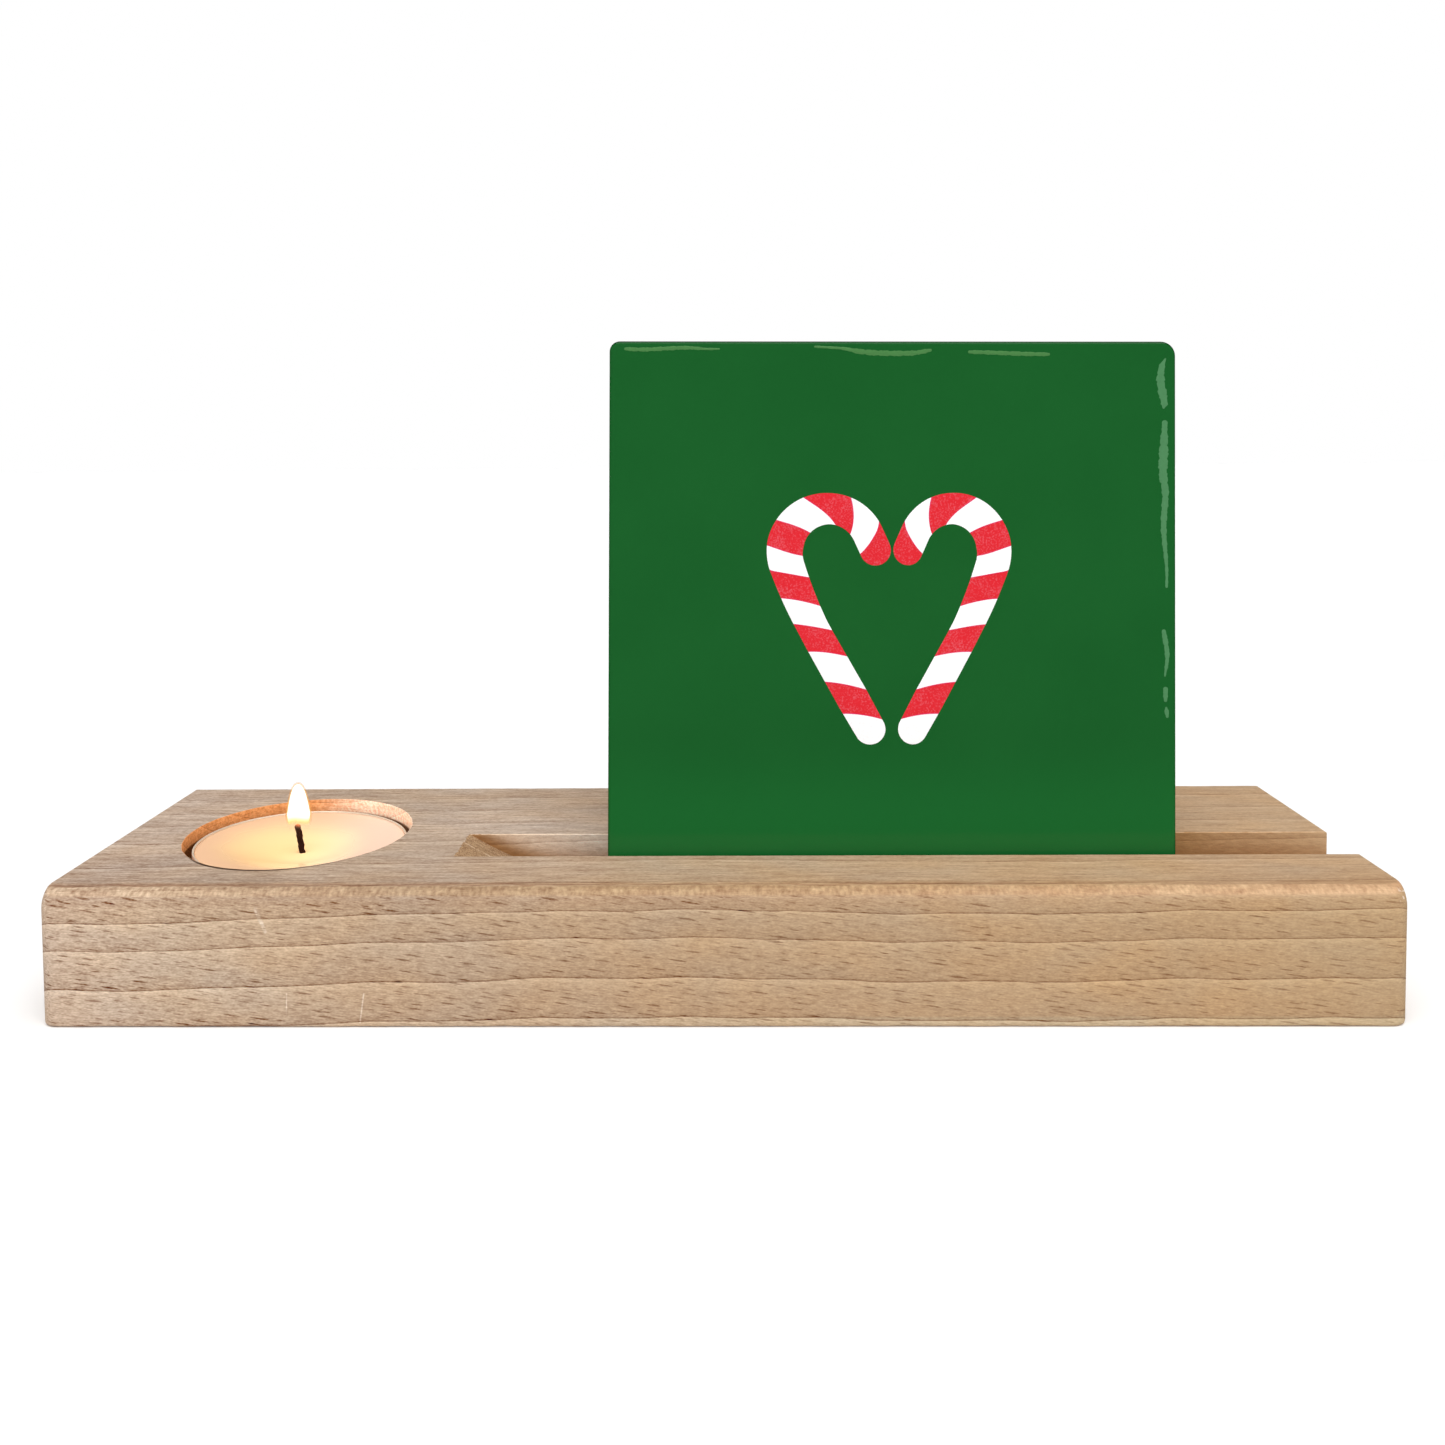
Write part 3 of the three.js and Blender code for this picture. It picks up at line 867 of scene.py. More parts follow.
def sawn_beech():
    """Beech as the saw left it. The side walls are browner towards the floor, most of all in
    the corner under the blade's climb: painted shade. Their tone along the slot holds painted
    light as well, palest just left of the tile, against the shade the tile casts. The climb
    itself cuts across the fibres, so it is finely speckled, and it is darker deep down: painted
    shade. A pale line runs along the top of the rear wall, partly torn fibres and partly a
    painted highlight on the arris, and fades to the right of the tile's middle."""
    recipe, place = new_finish("beech_sawn")
    x, y, z = recipe.split(place)
    facing, normal = facing_axes(recipe)
    _, departure = beech_body(recipe, place, facing, fleck_share=0.25)
    run = recipe.maths("MAXIMUM", BLADE_CENTRE_X - x, 0.0)
    above_floor = z - (BLADE_CENTRE_Z - recipe.maths("SQRT", BLADE_RADIUS**2 - run * run))
    to_right = recipe.share(x, RUN_OUT_X, RIGHT)
    # Painted shade: darker browns towards the slot's floor and in the corner under the climb.
    corner_shade = recipe.mix(to_right, (178, 128, 78), (164, 114, 66))
    shade_to_floor = recipe.ease(z, TOP, SLOT_FLOOR + 4.2)
    wall = recipe.mix(shade_to_floor * 0.85, recipe.tones(to_right, WALL_TONE_AND_LIGHT_ALONG), corner_shade)
    shade_in_corner = recipe.ease(above_floor, 4.2, 0.4) * recipe.ease(x, 0, -20)
    wall = recipe.mix(shade_in_corner * 0.95, wall, recipe.scaled(corner_shade, 0.86))

    climb = recipe.ease(facing[0], *LEANS_TO_IT)
    pores = recipe.noise(place, 4.2)
    cut_end = recipe.mix(recipe.ease(pores, 0.35, 0.6), (150, 115, 82), (190, 155, 118))
    # Painted shade on the climb, deep down.
    cut_end = recipe.mix(shade_to_floor, cut_end, recipe.scaled(cut_end, 0.7))
    colour = recipe.mix(climb, wall, cut_end)
    # A pale line on the rear wall's arris: partly torn fibres, partly a painted highlight where it faces up
    # and forward.
    torn = recipe.ease(recipe.noise(place, 0.9), 0.38, 0.6)
    arris = recipe.ease(normal[1] * -1, 0.25, 0.5) * recipe.ease(normal[2], 0.2, 0.4)
    fade_to_right = recipe.ease(x, TILE_CENTRE_X + 30, TILE_CENTRE_X + 60) * 0.7
    torn_arris_and_highlight = arris * (0.12 + torn * 0.72) * (1 - fade_to_right)
    colour = recipe.mix(torn_arris_and_highlight, colour, (236, 212, 184))

    marks = recipe.noise(place, (0.5, 0.4, 1.3), detail=3.0)
    departure = departure * (0.5 - climb * 0.35) + (marks - 0.5) * 0.45
    bump = relief(recipe, marks + pores * climb, 0.12)
    return close_finish(recipe, Base_Color=tinted(recipe, colour, departure, DARK_CAST),
                        Roughness=0.75, Specular_IOR_Level=0.2, Normal=bump)


sawn = sawn_beech()

# %% Bored finish, for the recess
# Painted shade down beside the cup: where it starts, where it is full, and how it follows the cup's tilt.
CREVICE_SHADE_TOP = 19.7
CREVICE_SHADE_DEEP = 19.1
CREVICE_SHADE_SLOPE = 0.012


def bored_beech():
    """The recess wall: ringed finely by the drill and finely pitted. It is pale and pinkish on
    the right and darker orange on the left: painted light on the one side and painted shade on
    the other. It also gives off a faint orange glow, painted light for the flame's light
    shining through the wax's brim. Down beside the cup it is dark brown and gives off nothing:
    painted shade."""
    recipe, place = new_finish("beech_bored")
    x, y, z = recipe.split(place)
    facing, _ = facing_axes(recipe)
    _, departure = beech_body(recipe, place, facing, fleck_share=0.3)
    rings = recipe.waver(place, (0.25, 0.25, 3.2), detail=3.0)
    pits = recipe.noise(place, 1.8, detail=3.0)
    to_right = recipe.ease(x, RECESS_X - 6, RECESS_X + 8)
    # Painted shade on the left side of the wall and painted light on the right.
    shaded_side = recipe.mix(recipe.ease(pits, 0.35, 0.65), (214, 142, 84), (238, 170, 112))
    pale = recipe.mix(recipe.ease(pits, 0.35, 0.6), (236, 190, 160), (255, 232, 212))
    wall = recipe.mix(to_right, shaded_side, pale)
    # Painted shade down beside the cup.
    crevice_shade = recipe.ease(z + (x - RECESS_X) * CREVICE_SHADE_SLOPE, CREVICE_SHADE_TOP, CREVICE_SHADE_DEEP)
    wall = recipe.mix(crevice_shade * 0.92, wall, (106, 62, 20))
    tone = tinted(recipe, wall, departure * 0.6 + rings * 0.5, DARK_CAST)
    # Painted light: the wall glows faintly orange for the flame's light through the wax.
    glow = recipe.mix(to_right, (94, 55, 26), (136, 114, 94))
    glow = recipe.mix(crevice_shade, glow, (0, 0, 0))
    return close_finish(recipe, Base_Color=tone, Roughness=0.7, Specular_IOR_Level=0.2,
                        Emission_Color=glow, Emission_Strength=1.0, Normal=relief(recipe, rings + pits, 0.1))


bored = bored_beech()

# %% Cut the block
SHARP_ARRIS = math.radians(34)


def cut_out(piece, cutter):
    """Take the cutter out of the piece, keep the cutter's material on the cut faces, and
    throw the cutter away."""
    modifier = piece.modifiers.new("cut", "BOOLEAN")
    modifier.operation = "DIFFERENCE"
    modifier.solver = "EXACT"
    modifier.material_mode = "TRANSFER"
    modifier.object = cutter
    evaluated = piece.evaluated_get(bpy.context.evaluated_depsgraph_get())
    mesh = bpy.data.meshes.new_from_object(evaluated)
    piece.modifiers.clear()
    bare = piece.data
    piece.data = mesh
    bpy.data.meshes.remove(bare)
    bpy.data.objects.remove(cutter)


block = skin("beech_block", block_rings, planed)
cut_out(block, skin("recess_cutter", recess_rings(), bored))
cut_out(block, skin("slot_cutter", slot_rings(), sawn, smooth_below=30))
block.data.name = "beech_block"
block.data.shade_smooth()
block.data.set_sharp_from_angle(angle=SHARP_ARRIS)
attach(block, "root")
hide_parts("block")
print("block after cutting:", len(block.data.polygons), "faces,", [m.name for m in block.data.materials])

# %% [markdown]
# ## The glazed tile
#
# The tile is a pressed biscuit of clay under a thick glaze, which rounds its front edges and
# stops short of the back. Its form is a stack of outlines: from the middle of the face they
# grow to the rim, pass down the side and shrink again over the back. It stands in the slot,
# leans back on the slot's rear edge and is turned a little in its own plane.

# %% Where the tile stands
TILE_HALF = np.array([49.1, 48.97])
TILE_THICKNESS = 10.3
TILE_CENTRE_UP = 39.7
TILE_FACE_Y = FRONT + 18.1
TILE_LEAN = math.radians(3.2)
TILE_TURN = math.radians(0.55)


def on_tile(u, v, depth):
    """A point of the tile in the holder's frame: u to the right and v up from the middle of
    the face, and depth behind it. The plane turns about its middle, then leans back about
    the line where the face meets the height of the block's top."""
    x = u * math.cos(TILE_TURN) + v * math.sin(TILE_TURN)
    up = v * math.cos(TILE_TURN) - u * math.sin(TILE_TURN) + TILE_CENTRE_UP
    y = depth * math.cos(TILE_LEAN) + up * math.sin(TILE_LEAN)
    z = up * math.cos(TILE_LEAN) - depth * math.sin(TILE_LEAN)
    return np.stack(np.broadcast_arrays(x + TILE_CENTRE_X, y + TILE_FACE_Y, z + TOP), axis=-1)


print("the tile's top edge is at", on_tile(0, TILE_HALF[1], 0).round(2))

# %% Outlines of the tile
GLAZE_REACH = 0.9
GLAZE_DROP = 0.35
BACK_ROUND = 0.5
CORNER_RADII = [1.6, 1.6, 2.5, 1.8]
FACE_INSETS = [44, 30, 16, 8, 4, 2.4, 1.4]
BACK_INSETS = [1.2, 4, 12, 28, 44]
SIDE_RINGS = 8


def glaze_depth(u, v):
    """How far the glaze has rounded off at a point: nothing in the field, and a quarter of an
    ellipse over the last stretch before the edge."""
    inset = np.minimum(TILE_HALF[0] - np.abs(u), TILE_HALF[1] - np.abs(v))
    run = np.clip(1 - inset / GLAZE_REACH, 0, 1)
    return GLAZE_DROP * (1 - np.sqrt(1 - run**2))


edge_turn = quarter(12)
back_turn = quarter(5)
insets = np.concatenate([
    FACE_INSETS,
    GLAZE_REACH * (1 - np.sin(edge_turn)),
    np.zeros(SIDE_RINGS),
    BACK_ROUND * (1 - np.cos(back_turn)),
    BACK_INSETS])
depths = np.concatenate([
    np.zeros(len(FACE_INSETS)),
    GLAZE_DROP * (1 - np.cos(edge_turn)),
    np.linspace(GLAZE_DROP + 0.3, TILE_THICKNESS - BACK_ROUND - 0.3, SIDE_RINGS),
    TILE_THICKNESS - BACK_ROUND + BACK_ROUND * np.sin(back_turn),
    np.full(len(BACK_INSETS), TILE_THICKNESS)])
outline_half = TILE_HALF - insets[:, None]
outline_radii = np.maximum(np.array(CORNER_RADII) - insets[:, None], 0.25)
outlines = rounded_section(-outline_half, outline_half, outline_radii, flats=12)
tile_depths = np.broadcast_to(depths[:, None], outlines.shape[:2])
tile_rings = on_tile(outlines[..., 0], outlines[..., 1], tile_depths)
print("tile rings:", tile_rings.shape)

# %% Glaze over biscuit
GLAZE_END = (8.9, 9.2)


def tile_finish():
    """Deep green glaze on the face and the sides. It is a little lighter low on the face, painted
    light against the shade that the wood casts there, and darker where it goes round the rim,
    most of all on top, painted shade against the light the rim would mirror. Past a ragged line
    near the back the clay is bare: pale, matt and finely pitted."""
    recipe, place = new_finish("green_glaze")
    z = recipe.split(place)[2]
    depth = recipe.node("Attribute", {"attribute_name": "depth"}, output="Fac")
    upward = recipe.split(recipe.node("TexCoord", output="Normal"))[2]
    bare = recipe.ease(depth + recipe.waver(place, 0.5, detail=3.0) * 1.6, *GLAZE_END)
    pool = recipe.noise(place, 0.04)
    rim = recipe.ease(depth, 0.0, 0.3)
    glaze = recipe.mix(recipe.ease(pool, 0.3, 0.7), (25, 91, 39), (27, 94, 41))
    # Painted light: lighter low on the face, against the wood's shade.
    glaze = recipe.mix(recipe.ease(z, TOP + 22, TOP), glaze, (29, 108, 48))
    # Painted shade round the rim, darkest where it faces up.
    glaze = recipe.mix(rim, glaze, (20, 80, 34))
    glaze = recipe.mix(rim * recipe.ease(upward, 0.1, 0.5), glaze, (8, 44, 16))
    pits = recipe.noise(place, 1.7, detail=4.0)
    clay = recipe.mix(recipe.ease(pits, 0.35, 0.7), (206, 192, 172), (228, 218, 202))
    ripple = recipe.noise(place, 0.12, detail=1.0)
    bump = relief(recipe, ripple * (1 - bare) * 0.25 + pits * bare, 0.12)
    return close_finish(recipe, Base_Color=recipe.mix(bare, glaze, clay), Roughness=0.1 + bare * 0.75,
                        Specular_IOR_Level=0.15, Normal=bump)


tile = skin("glazed_tile", tile_rings, tile_finish(), attributes={"depth": tile_depths})
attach(tile, "root")
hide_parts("tile")

# %% [markdown]
# ## Candy canes in the glaze
#
# Two candy canes stand as a heart in the middle of the face. They could be painted by a node
# pattern on the tile, but a bake would blur their edges, so each is a thin ribbon of enamel
# that stands a few hundredths of a millimetre proud. Its middle line is a straight leg
# followed by arcs: walking along it, each stretch turns by its own angle at an even rate.

# %% Middle line of a cane
CANE_START = (-3.64, -18.35)
CANE_HEADING = math.radians(119.6)
CANE_STRETCHES = [(17.1, 0), (14.6, -10.7), (23.1, -174.5), (3.0, 0)]
CANE_HALF_WIDTHS = [(0.0, 2.66), (0.1, 2.8), (0.35, 2.69), (0.62, 3.17), (0.8, 2.7), (1.0, 2.68)]
MIRROR_SCALE = 0.947
MIRROR_SHIFT = (0.29, 0.08)


def cane_line(steps=420):
    """The cane's middle line as distance, u, v and heading.

    The heading is a broken line over the distance, by the length and turn of each stretch.
    Each small step goes forward along the mean heading of its two ends."""
    lengths, turns = np.array(CANE_STRETCHES).T
    marks = np.concatenate([[0], np.cumsum(lengths)])
    headings = CANE_HEADING + np.radians(np.concatenate([[0], np.cumsum(turns)]))
    distance = np.linspace(0, marks[-1], steps)
    heading = np.interp(distance, marks, headings)
    step = np.diff(distance)
    mean_heading = (heading[1:] + heading[:-1]) / 2
    u = CANE_START[0] + np.concatenate([[0], np.cumsum(np.cos(mean_heading) * step)])
    v = CANE_START[1] + np.concatenate([[0], np.cumsum(np.sin(mean_heading) * step)])
    return distance, u, v, heading


print(f"a cane's middle line is {sum(length for length, turn in CANE_STRETCHES):.1f} mm long")

# %% Ribbon with round ends
PRINT_PROUD = 0.05
PRINT_SUNK = 0.12
CAP_SHARE = 0.985


def ribbon(u, v, heading, half_width, across=14):
    """Rings of a flat ribbon: each point's u, v, height above the glaze and side, which runs
    from 1 at the right edge to -1 at the left one.

    Each ring goes over the top and back underneath. The top is a low arch: proud by
    PRINT_PROUD in the middle and almost flush at the edges."""
    side = np.concatenate([np.linspace(1, -1, across), np.linspace(-1, 1, across)[1:-1]])
    on_top = np.concatenate([np.ones(across), np.zeros(across - 2)])
    offset = side * half_width[:, None]
    ring_u = u[:, None] + np.sin(heading)[:, None] * offset
    ring_v = v[:, None] - np.cos(heading)[:, None] * offset
    arch = PRINT_PROUD * (1 - side**6 * 0.8) * on_top - PRINT_SUNK * (1 - on_top)
    return ring_u, ring_v, np.broadcast_to(arch, ring_u.shape), np.broadcast_to(side, ring_u.shape)


def printed(u, v, height):
    """Lay points on the tile's glazed face, at a height above it."""
    return on_tile(u, v, glaze_depth(u, v) - height)


def round_ends(u, v, heading, half_width, steps=12):
    """Lengthen a ribbon by a half circle at both ends: past the end the middle line goes
    straight on, and the half width follows the circle down to almost nothing."""
    angle = quarter(steps)[1:] * CAP_SHARE
    first, last = half_width[0], half_width[-1]
    before, after = first * np.sin(angle)[::-1], last * np.sin(angle)
    new_u = [u[0] - np.cos(heading[0]) * before, u, u[-1] + np.cos(heading[-1]) * after]
    new_v = [v[0] - np.sin(heading[0]) * before, v, v[-1] + np.sin(heading[-1]) * after]
    new_heading = [np.full(steps, heading[0]), heading, np.full(steps, heading[-1])]
    new_width = [first * np.cos(angle)[::-1], half_width, last * np.cos(angle)]
    longer = [np.concatenate(parts) for parts in (new_u, new_v, new_heading, new_width)]
    return *longer, before, after


print("the print stands", PRINT_PROUD, "mm proud of the glaze")

# %% Stripes of a cane
STRIPE_EDGES = [(4.6, 0.4, 0.3), (11.0, 6.3, 0.3), (16.9, 12.9, 0.3), (22.2, 18.2, 0.2),
                (26.9, 23.0, 0.3), (32.0, 28.6, 0.05), (35.0, 33.1, 0.25), (38.4, 40.5, -0.2),
                (42.8, 48.1, -0.75), (49.1, 52.8, -0.15), (53.8, 57.3, 0.45)]
BEFORE_FOOT = (-3.5, -3.5, 0.0)
PAST_TIP = (61.0, 61.0, 0.0)


def stripe_number(distance, outward):
    """Which stripe a point lies in, as a number that grows along the cane. Whole numbers are
    the stripes' edges. outward is the place across the ribbon, from -1 to 1 at the outside.

    An edge has a distance on the outside, one on the inside, and a bulge. It runs straight
    from one to the other, moved forward by the bulge times 1 minus the squared place across.
    The number adds up how far the point has come from each edge to the next, from 0 to 1."""
    stations = np.array([BEFORE_FOOT] + STRIPE_EDGES + [PAST_TIP])
    outside, inside, bulge = stations.T[:, :, None, None]
    edges = (outside + inside + (outside - inside) * outward) / 2 + bulge * (1 - outward**2)
    passed = (distance - edges[:-1]) / (edges[1:] - edges[:-1])
    return np.clip(passed, 0, 1).sum(axis=0)


print("edges between red and white:", len(STRIPE_EDGES))

# %% Cane finish
def cane_finish():
    """Red and white stripes. Odd stripes are red, worked over with a dry crayon that leaves
    pale specks, and each edge between red and white has a thin pink line."""
    recipe, place = new_finish("candy_stripes")
    stripe = recipe.node("Attribute", {"attribute_name": "stripe"}, output="Fac")
    red = recipe.maths("GREATER_THAN", recipe.maths("FRACT", stripe / 2), 0.5)
    specks = recipe.noise(place, 3.6, detail=3.0)
    crayon = recipe.waver(place, 0.25, detail=1.0)
    worn = recipe.ease(specks + crayon * 0.3, 0.46, 0.72)
    red_tone = recipe.mix(worn * 0.8, (226, 34, 46), (228, 92, 104))
    white_tone = recipe.mix(recipe.ease(specks, 0.5, 0.8), (255, 255, 255), (246, 244, 246))
    to_edge = abs(recipe.maths("FRACT", stripe) - 0.5)
    pink = recipe.ease(to_edge, 0.46, 0.49) * 0.6
    colour = recipe.mix(red, white_tone, recipe.mix(pink, red_tone, (226, 60, 140)))
    return close_finish(recipe, Base_Color=colour, Roughness=0.35, Specular_IOR_Level=0.2)


stripes_finish = cane_finish()

# %% Make both canes
distance, u, v, heading = cane_line()
width_places, widths = np.array(CANE_HALF_WIDTHS).T
half_width = np.interp(distance / distance[-1], width_places, widths)
u, v, heading, half_width, before, after = round_ends(u, v, heading, half_width)
distance = np.concatenate([-before, distance, distance[-1] + after])

ring_u, ring_v, proud, side = ribbon(u, v, heading, half_width)
full_width = np.interp(distance / distance.max(), width_places, widths)[:, None]
outward = -side * half_width[:, None] / full_width
stripes = stripe_number(distance[:, None], outward)
mirrored_u = MIRROR_SHIFT[0] - MIRROR_SCALE * ring_u
mirrored_v = MIRROR_SHIFT[1] + ring_v

canes = {"candy_cane_left": (ring_u, ring_v), "candy_cane_right": (mirrored_u, mirrored_v)}
for cane_name, (cane_u, cane_v) in canes.items():
    cane_rings = printed(cane_u, cane_v, proud)
    cane = skin(cane_name, cane_rings, stripes_finish, attributes={"stripe": stripes})
    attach(cane, "root")

# %% [markdown]
# ## Highlight strokes
#
# The rim of the glaze carries pale brush strokes that stand for its shine: three along the
# top edge and five down the right one. Each is a ribbon like the canes, with an uneven width,
# through a few listed places and smoothed between them.

# %% Strokes, as u, v and half width at a few places
STROKES = {
    "top_left": [(-46.3, 47.6, 0.3), (-42.8, 47.5, 0.34), (-36.0, 47.8, 0.32), (-32.4, 47.6, 0.2),
                 (-30.0, 47.6, 0.15)],
    "top_middle": [(-13.3, 48.0, 0.17), (-8.5, 47.7, 0.25), (-5.7, 47.2, 0.42), (-2.0, 46.9, 0.46),
                   (3.5, 46.9, 0.42), (6.7, 47.4, 0.3)],
    "top_right": [(13.5, 47.1, 0.3), (17.1, 47.0, 0.34), (22.3, 46.8, 0.36), (27.2, 46.7, 0.3)],
    "side_first": [(47.3, 45.9, 0.15), (46.7, 44.5, 0.5), (46.5, 42.0, 0.68), (47.1, 38.5, 0.62),
                   (47.0, 37.5, 0.2)],
    "side_long": [(47.2, 34.8, 0.42), (47.0, 29.8, 0.76), (46.9, 26.0, 0.7), (47.3, 22.5, 0.56),
                  (47.0, 16.7, 0.48), (47.5, 9.9, 0.28), (47.5, 6.5, 0.22)],
    "side_third": [(47.0, -1.2, 0.42), (47.6, -5.3, 0.38), (47.2, -8.9, 0.16)],
    "side_fourth": [(47.3, -11.2, 0.4), (47.3, -13.1, 0.34)],
    "side_last": [(47.4, -14.4, 0.22), (47.5, -15.1, 0.37), (47.6, -15.9, 0.22)],
}


def stroke_line(places, step=0.25):
    """The smooth line through a stroke's places: a Catmull-Rom curve in u, v and half width,
    stepped evenly enough for the width to look hand-drawn once a wander is added."""
    points = np.array(places, float)
    padded = np.concatenate([2 * points[:1] - points[1:2], points, 2 * points[-1:] - points[-2:-1]])
    lengths = np.linalg.norm(np.diff(points[:, :2], axis=0), axis=1)
    parts = []
    for number, length in enumerate(lengths):
        before, start, end, after = padded[number:number + 4]
        t = np.linspace(0, 1, max(3, round(length / step)), endpoint=False)[:, None]
        square = 2 * before - 5 * start + 4 * end - after
        cube = 3 * start - before - 3 * end + after
        parts.append(0.5 * (2 * start + (end - before) * t + square * t**2 + cube * t**3))
    line = np.concatenate(parts + [points[-1:]])
    distance = np.concatenate([[0], np.cumsum(np.linalg.norm(np.diff(line[:, :2], axis=0), axis=1))])
    heading = np.unwrap(np.arctan2(np.gradient(line[:, 1]), np.gradient(line[:, 0])))
    return distance, line, heading


print("strokes:", len(STROKES))

# %% Make the strokes
def stroke_finish():
    """Pale green, a little bluer on the strokes down the right edge."""
    recipe, place = new_finish("glaze_highlight")
    streak = recipe.noise(place, 1.5)
    at_right = recipe.ease(recipe.split(place)[0], TILE_CENTRE_X + 40, TILE_CENTRE_X + 45)
    pale = recipe.mix(at_right, (78, 134, 74), (82, 140, 92))
    tone = recipe.mix(streak, recipe.scaled(pale, 0.84), pale)
    return close_finish(recipe, Base_Color=tone, Roughness=0.2, Specular_IOR_Level=0.2)


highlight = stroke_finish()
for number, (stroke_name, places) in enumerate(STROKES.items()):
    distance, line, heading = stroke_line(places)
    half_width = line[:, 2] * (1 + wander(distance, 0.3, (2.3, 1.1, 0.6), seed=40 + number))
    u, v, heading, half_width, *_ = round_ends(line[:, 0], line[:, 1], heading, half_width, steps=5)
    ring_u, ring_v, proud, _ = ribbon(u, v, heading, half_width, across=6)
    stroke = skin("highlight_" + stroke_name, printed(ring_u, ring_v, proud), highlight)
    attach(stroke, "root")

# %% [markdown]
# ## The tealight
#
# The tealight is a thin pressed cup filled with wax. It doesn't stand quite level in its
# recess, so cup, wax, wick and flame all pass through one function that lifts the left side.
# The cup is a turned profile that goes up the outside, round the rolled rim and down the
# inside, so its wall has a real thickness.

# %% Where the tealight stands
CUP_RADIUS = 18.7
CUP_RIM = 20.2
CUP_FLOOR = 5.55
CUP_WALL = 0.2
CUP_X = RECESS_X + 0.4
CUP_Y = RECESS_Y - 0.25
LIFT_LEFT = -0.030
LIFT_FRONT = -0.0107


def in_recess(rings):
    """Move turned rings to the tealight's place and tilt them: the height changes by the two
    slopes times the distance from the middle."""
    moved = rings + [CUP_X, CUP_Y, 0]
    moved[..., 2] += LIFT_LEFT * rings[..., 0] + LIFT_FRONT * rings[..., 1]
    return moved


print(f"the cup's left edge stands {-LIFT_LEFT * 2 * CUP_RADIUS:.1f} mm above its right one")

# %% Cup
CUP_FOOT = 17.0


def cup_profile():
    """Radius and height up the outside, round the rim as a half circle, and down the inside."""
    bead = CUP_WALL * 0.9
    turn = np.linspace(0, np.pi, 9)
    rim = [(CUP_RADIUS - bead + bead * math.cos(a), CUP_RIM - bead + bead * math.sin(a)) for a in turn]
    inner = CUP_RADIUS - 2 * bead
    outside = [(POLE_RADIUS, CUP_FLOOR), (CUP_FOOT, CUP_FLOOR), (CUP_RADIUS - 0.5, CUP_FLOOR + 0.5),
               (CUP_RADIUS - bead, CUP_FLOOR + 1.5)]
    inside = [(inner, CUP_FLOOR + 1.5), (inner - 0.5, CUP_FLOOR + 0.6), (POLE_RADIUS, CUP_FLOOR + CUP_WALL)]
    return outside + rim + inside


def cup_finish():
    """Bright pressed foil with fine upright draw lines and a few dull patches. Its warm cream
    colour is painted reflection of the warm wax and wood round it.
    """
    recipe, place = new_finish("cup_foil")
    lines = recipe.noise(place, (1.5, 1.5, 0.1))
    dull = recipe.noise(place, 0.2)
    # Painted reflection: the foil is coloured warm cream, as it would mirror the wax and the wood.
    tone = recipe.mix(dull, (226, 208, 186), (246, 234, 216))
    return close_finish(recipe, Base_Color=tone, Metallic=0.3, Roughness=0.35 + dull * 0.2,
                        Normal=relief(recipe, lines, 0.03))


cup = skin("foil_cup", in_recess(turned_rings(cup_profile(), steps=128)), cup_finish())
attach(cup, "root")
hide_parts("tealight_cup")

# %% [markdown]
# ## Wax
#
# The wax is highest at the cup and sinks to a molten pool round the wick. It glows, because
# the flame shines into it. True scattering would be slow and noisy for so small a body, so
# the glow is a faint warm emission in the wax's own colour, which is yellow by the wick and
# pinker towards the edge.

# %% Wax
WAX_RADIUS = CUP_RADIUS - 2 * CUP_WALL - 0.02
WAX_BRIM = 0.25
WAX_EDGE = CUP_RIM - 0.2
WAX_POOL = CUP_RIM - 2.25
WAX_FLOOR = CUP_FLOOR + 0.4
WAX_FOOT = 16.5
WAX_SWELL = 0.12
POOL_RADIUS = 11.5
POOL_LEFT = 2.5


def wax_rings():
    """Rings from the middle of the underside, up the wall, over the brim and down the dish.

    The dish is half a cosine wave from the edge to the pool's border, and the pool is flat
    but for a low collar where the molten wax climbs the wick. The dish swells twice on the
    way round, by a sine of twice the angle."""
    dish = np.linspace(0, 1, 22)
    brim = WAX_RADIUS - WAX_BRIM
    radius = brim + (POOL_RADIUS * 0.35 - brim) * dish
    height = WAX_POOL + (WAX_EDGE - WAX_POOL) * (1 + np.cos(np.pi * dish)) / 2
    pool = [(3.0, WAX_POOL), (1.6, WAX_POOL), (0.9, WAX_POOL + 0.02), (0.6, WAX_POOL + 0.06)]
    wall = [(POLE_RADIUS, WAX_FLOOR), (WAX_FOOT, WAX_FLOOR), (WAX_RADIUS, WAX_FLOOR + 1.6),
            (WAX_RADIUS, WAX_EDGE - 0.2)]
    rings = turned_rings(wall + list(zip(radius, height)) + pool, steps=128)
    angle = np.arctan2(rings[..., 1], rings[..., 0])
    reach = np.hypot(rings[..., 0], rings[..., 1]) / WAX_RADIUS
    on_top = rings[..., 2] > WAX_POOL - 0.1
    swell = WAX_SWELL * np.sin(2 * angle + 0.6) * reach**2 * (1 - reach) * 4
    rings[..., 2] += np.where(on_top, swell, 0)
    return in_recess(rings)


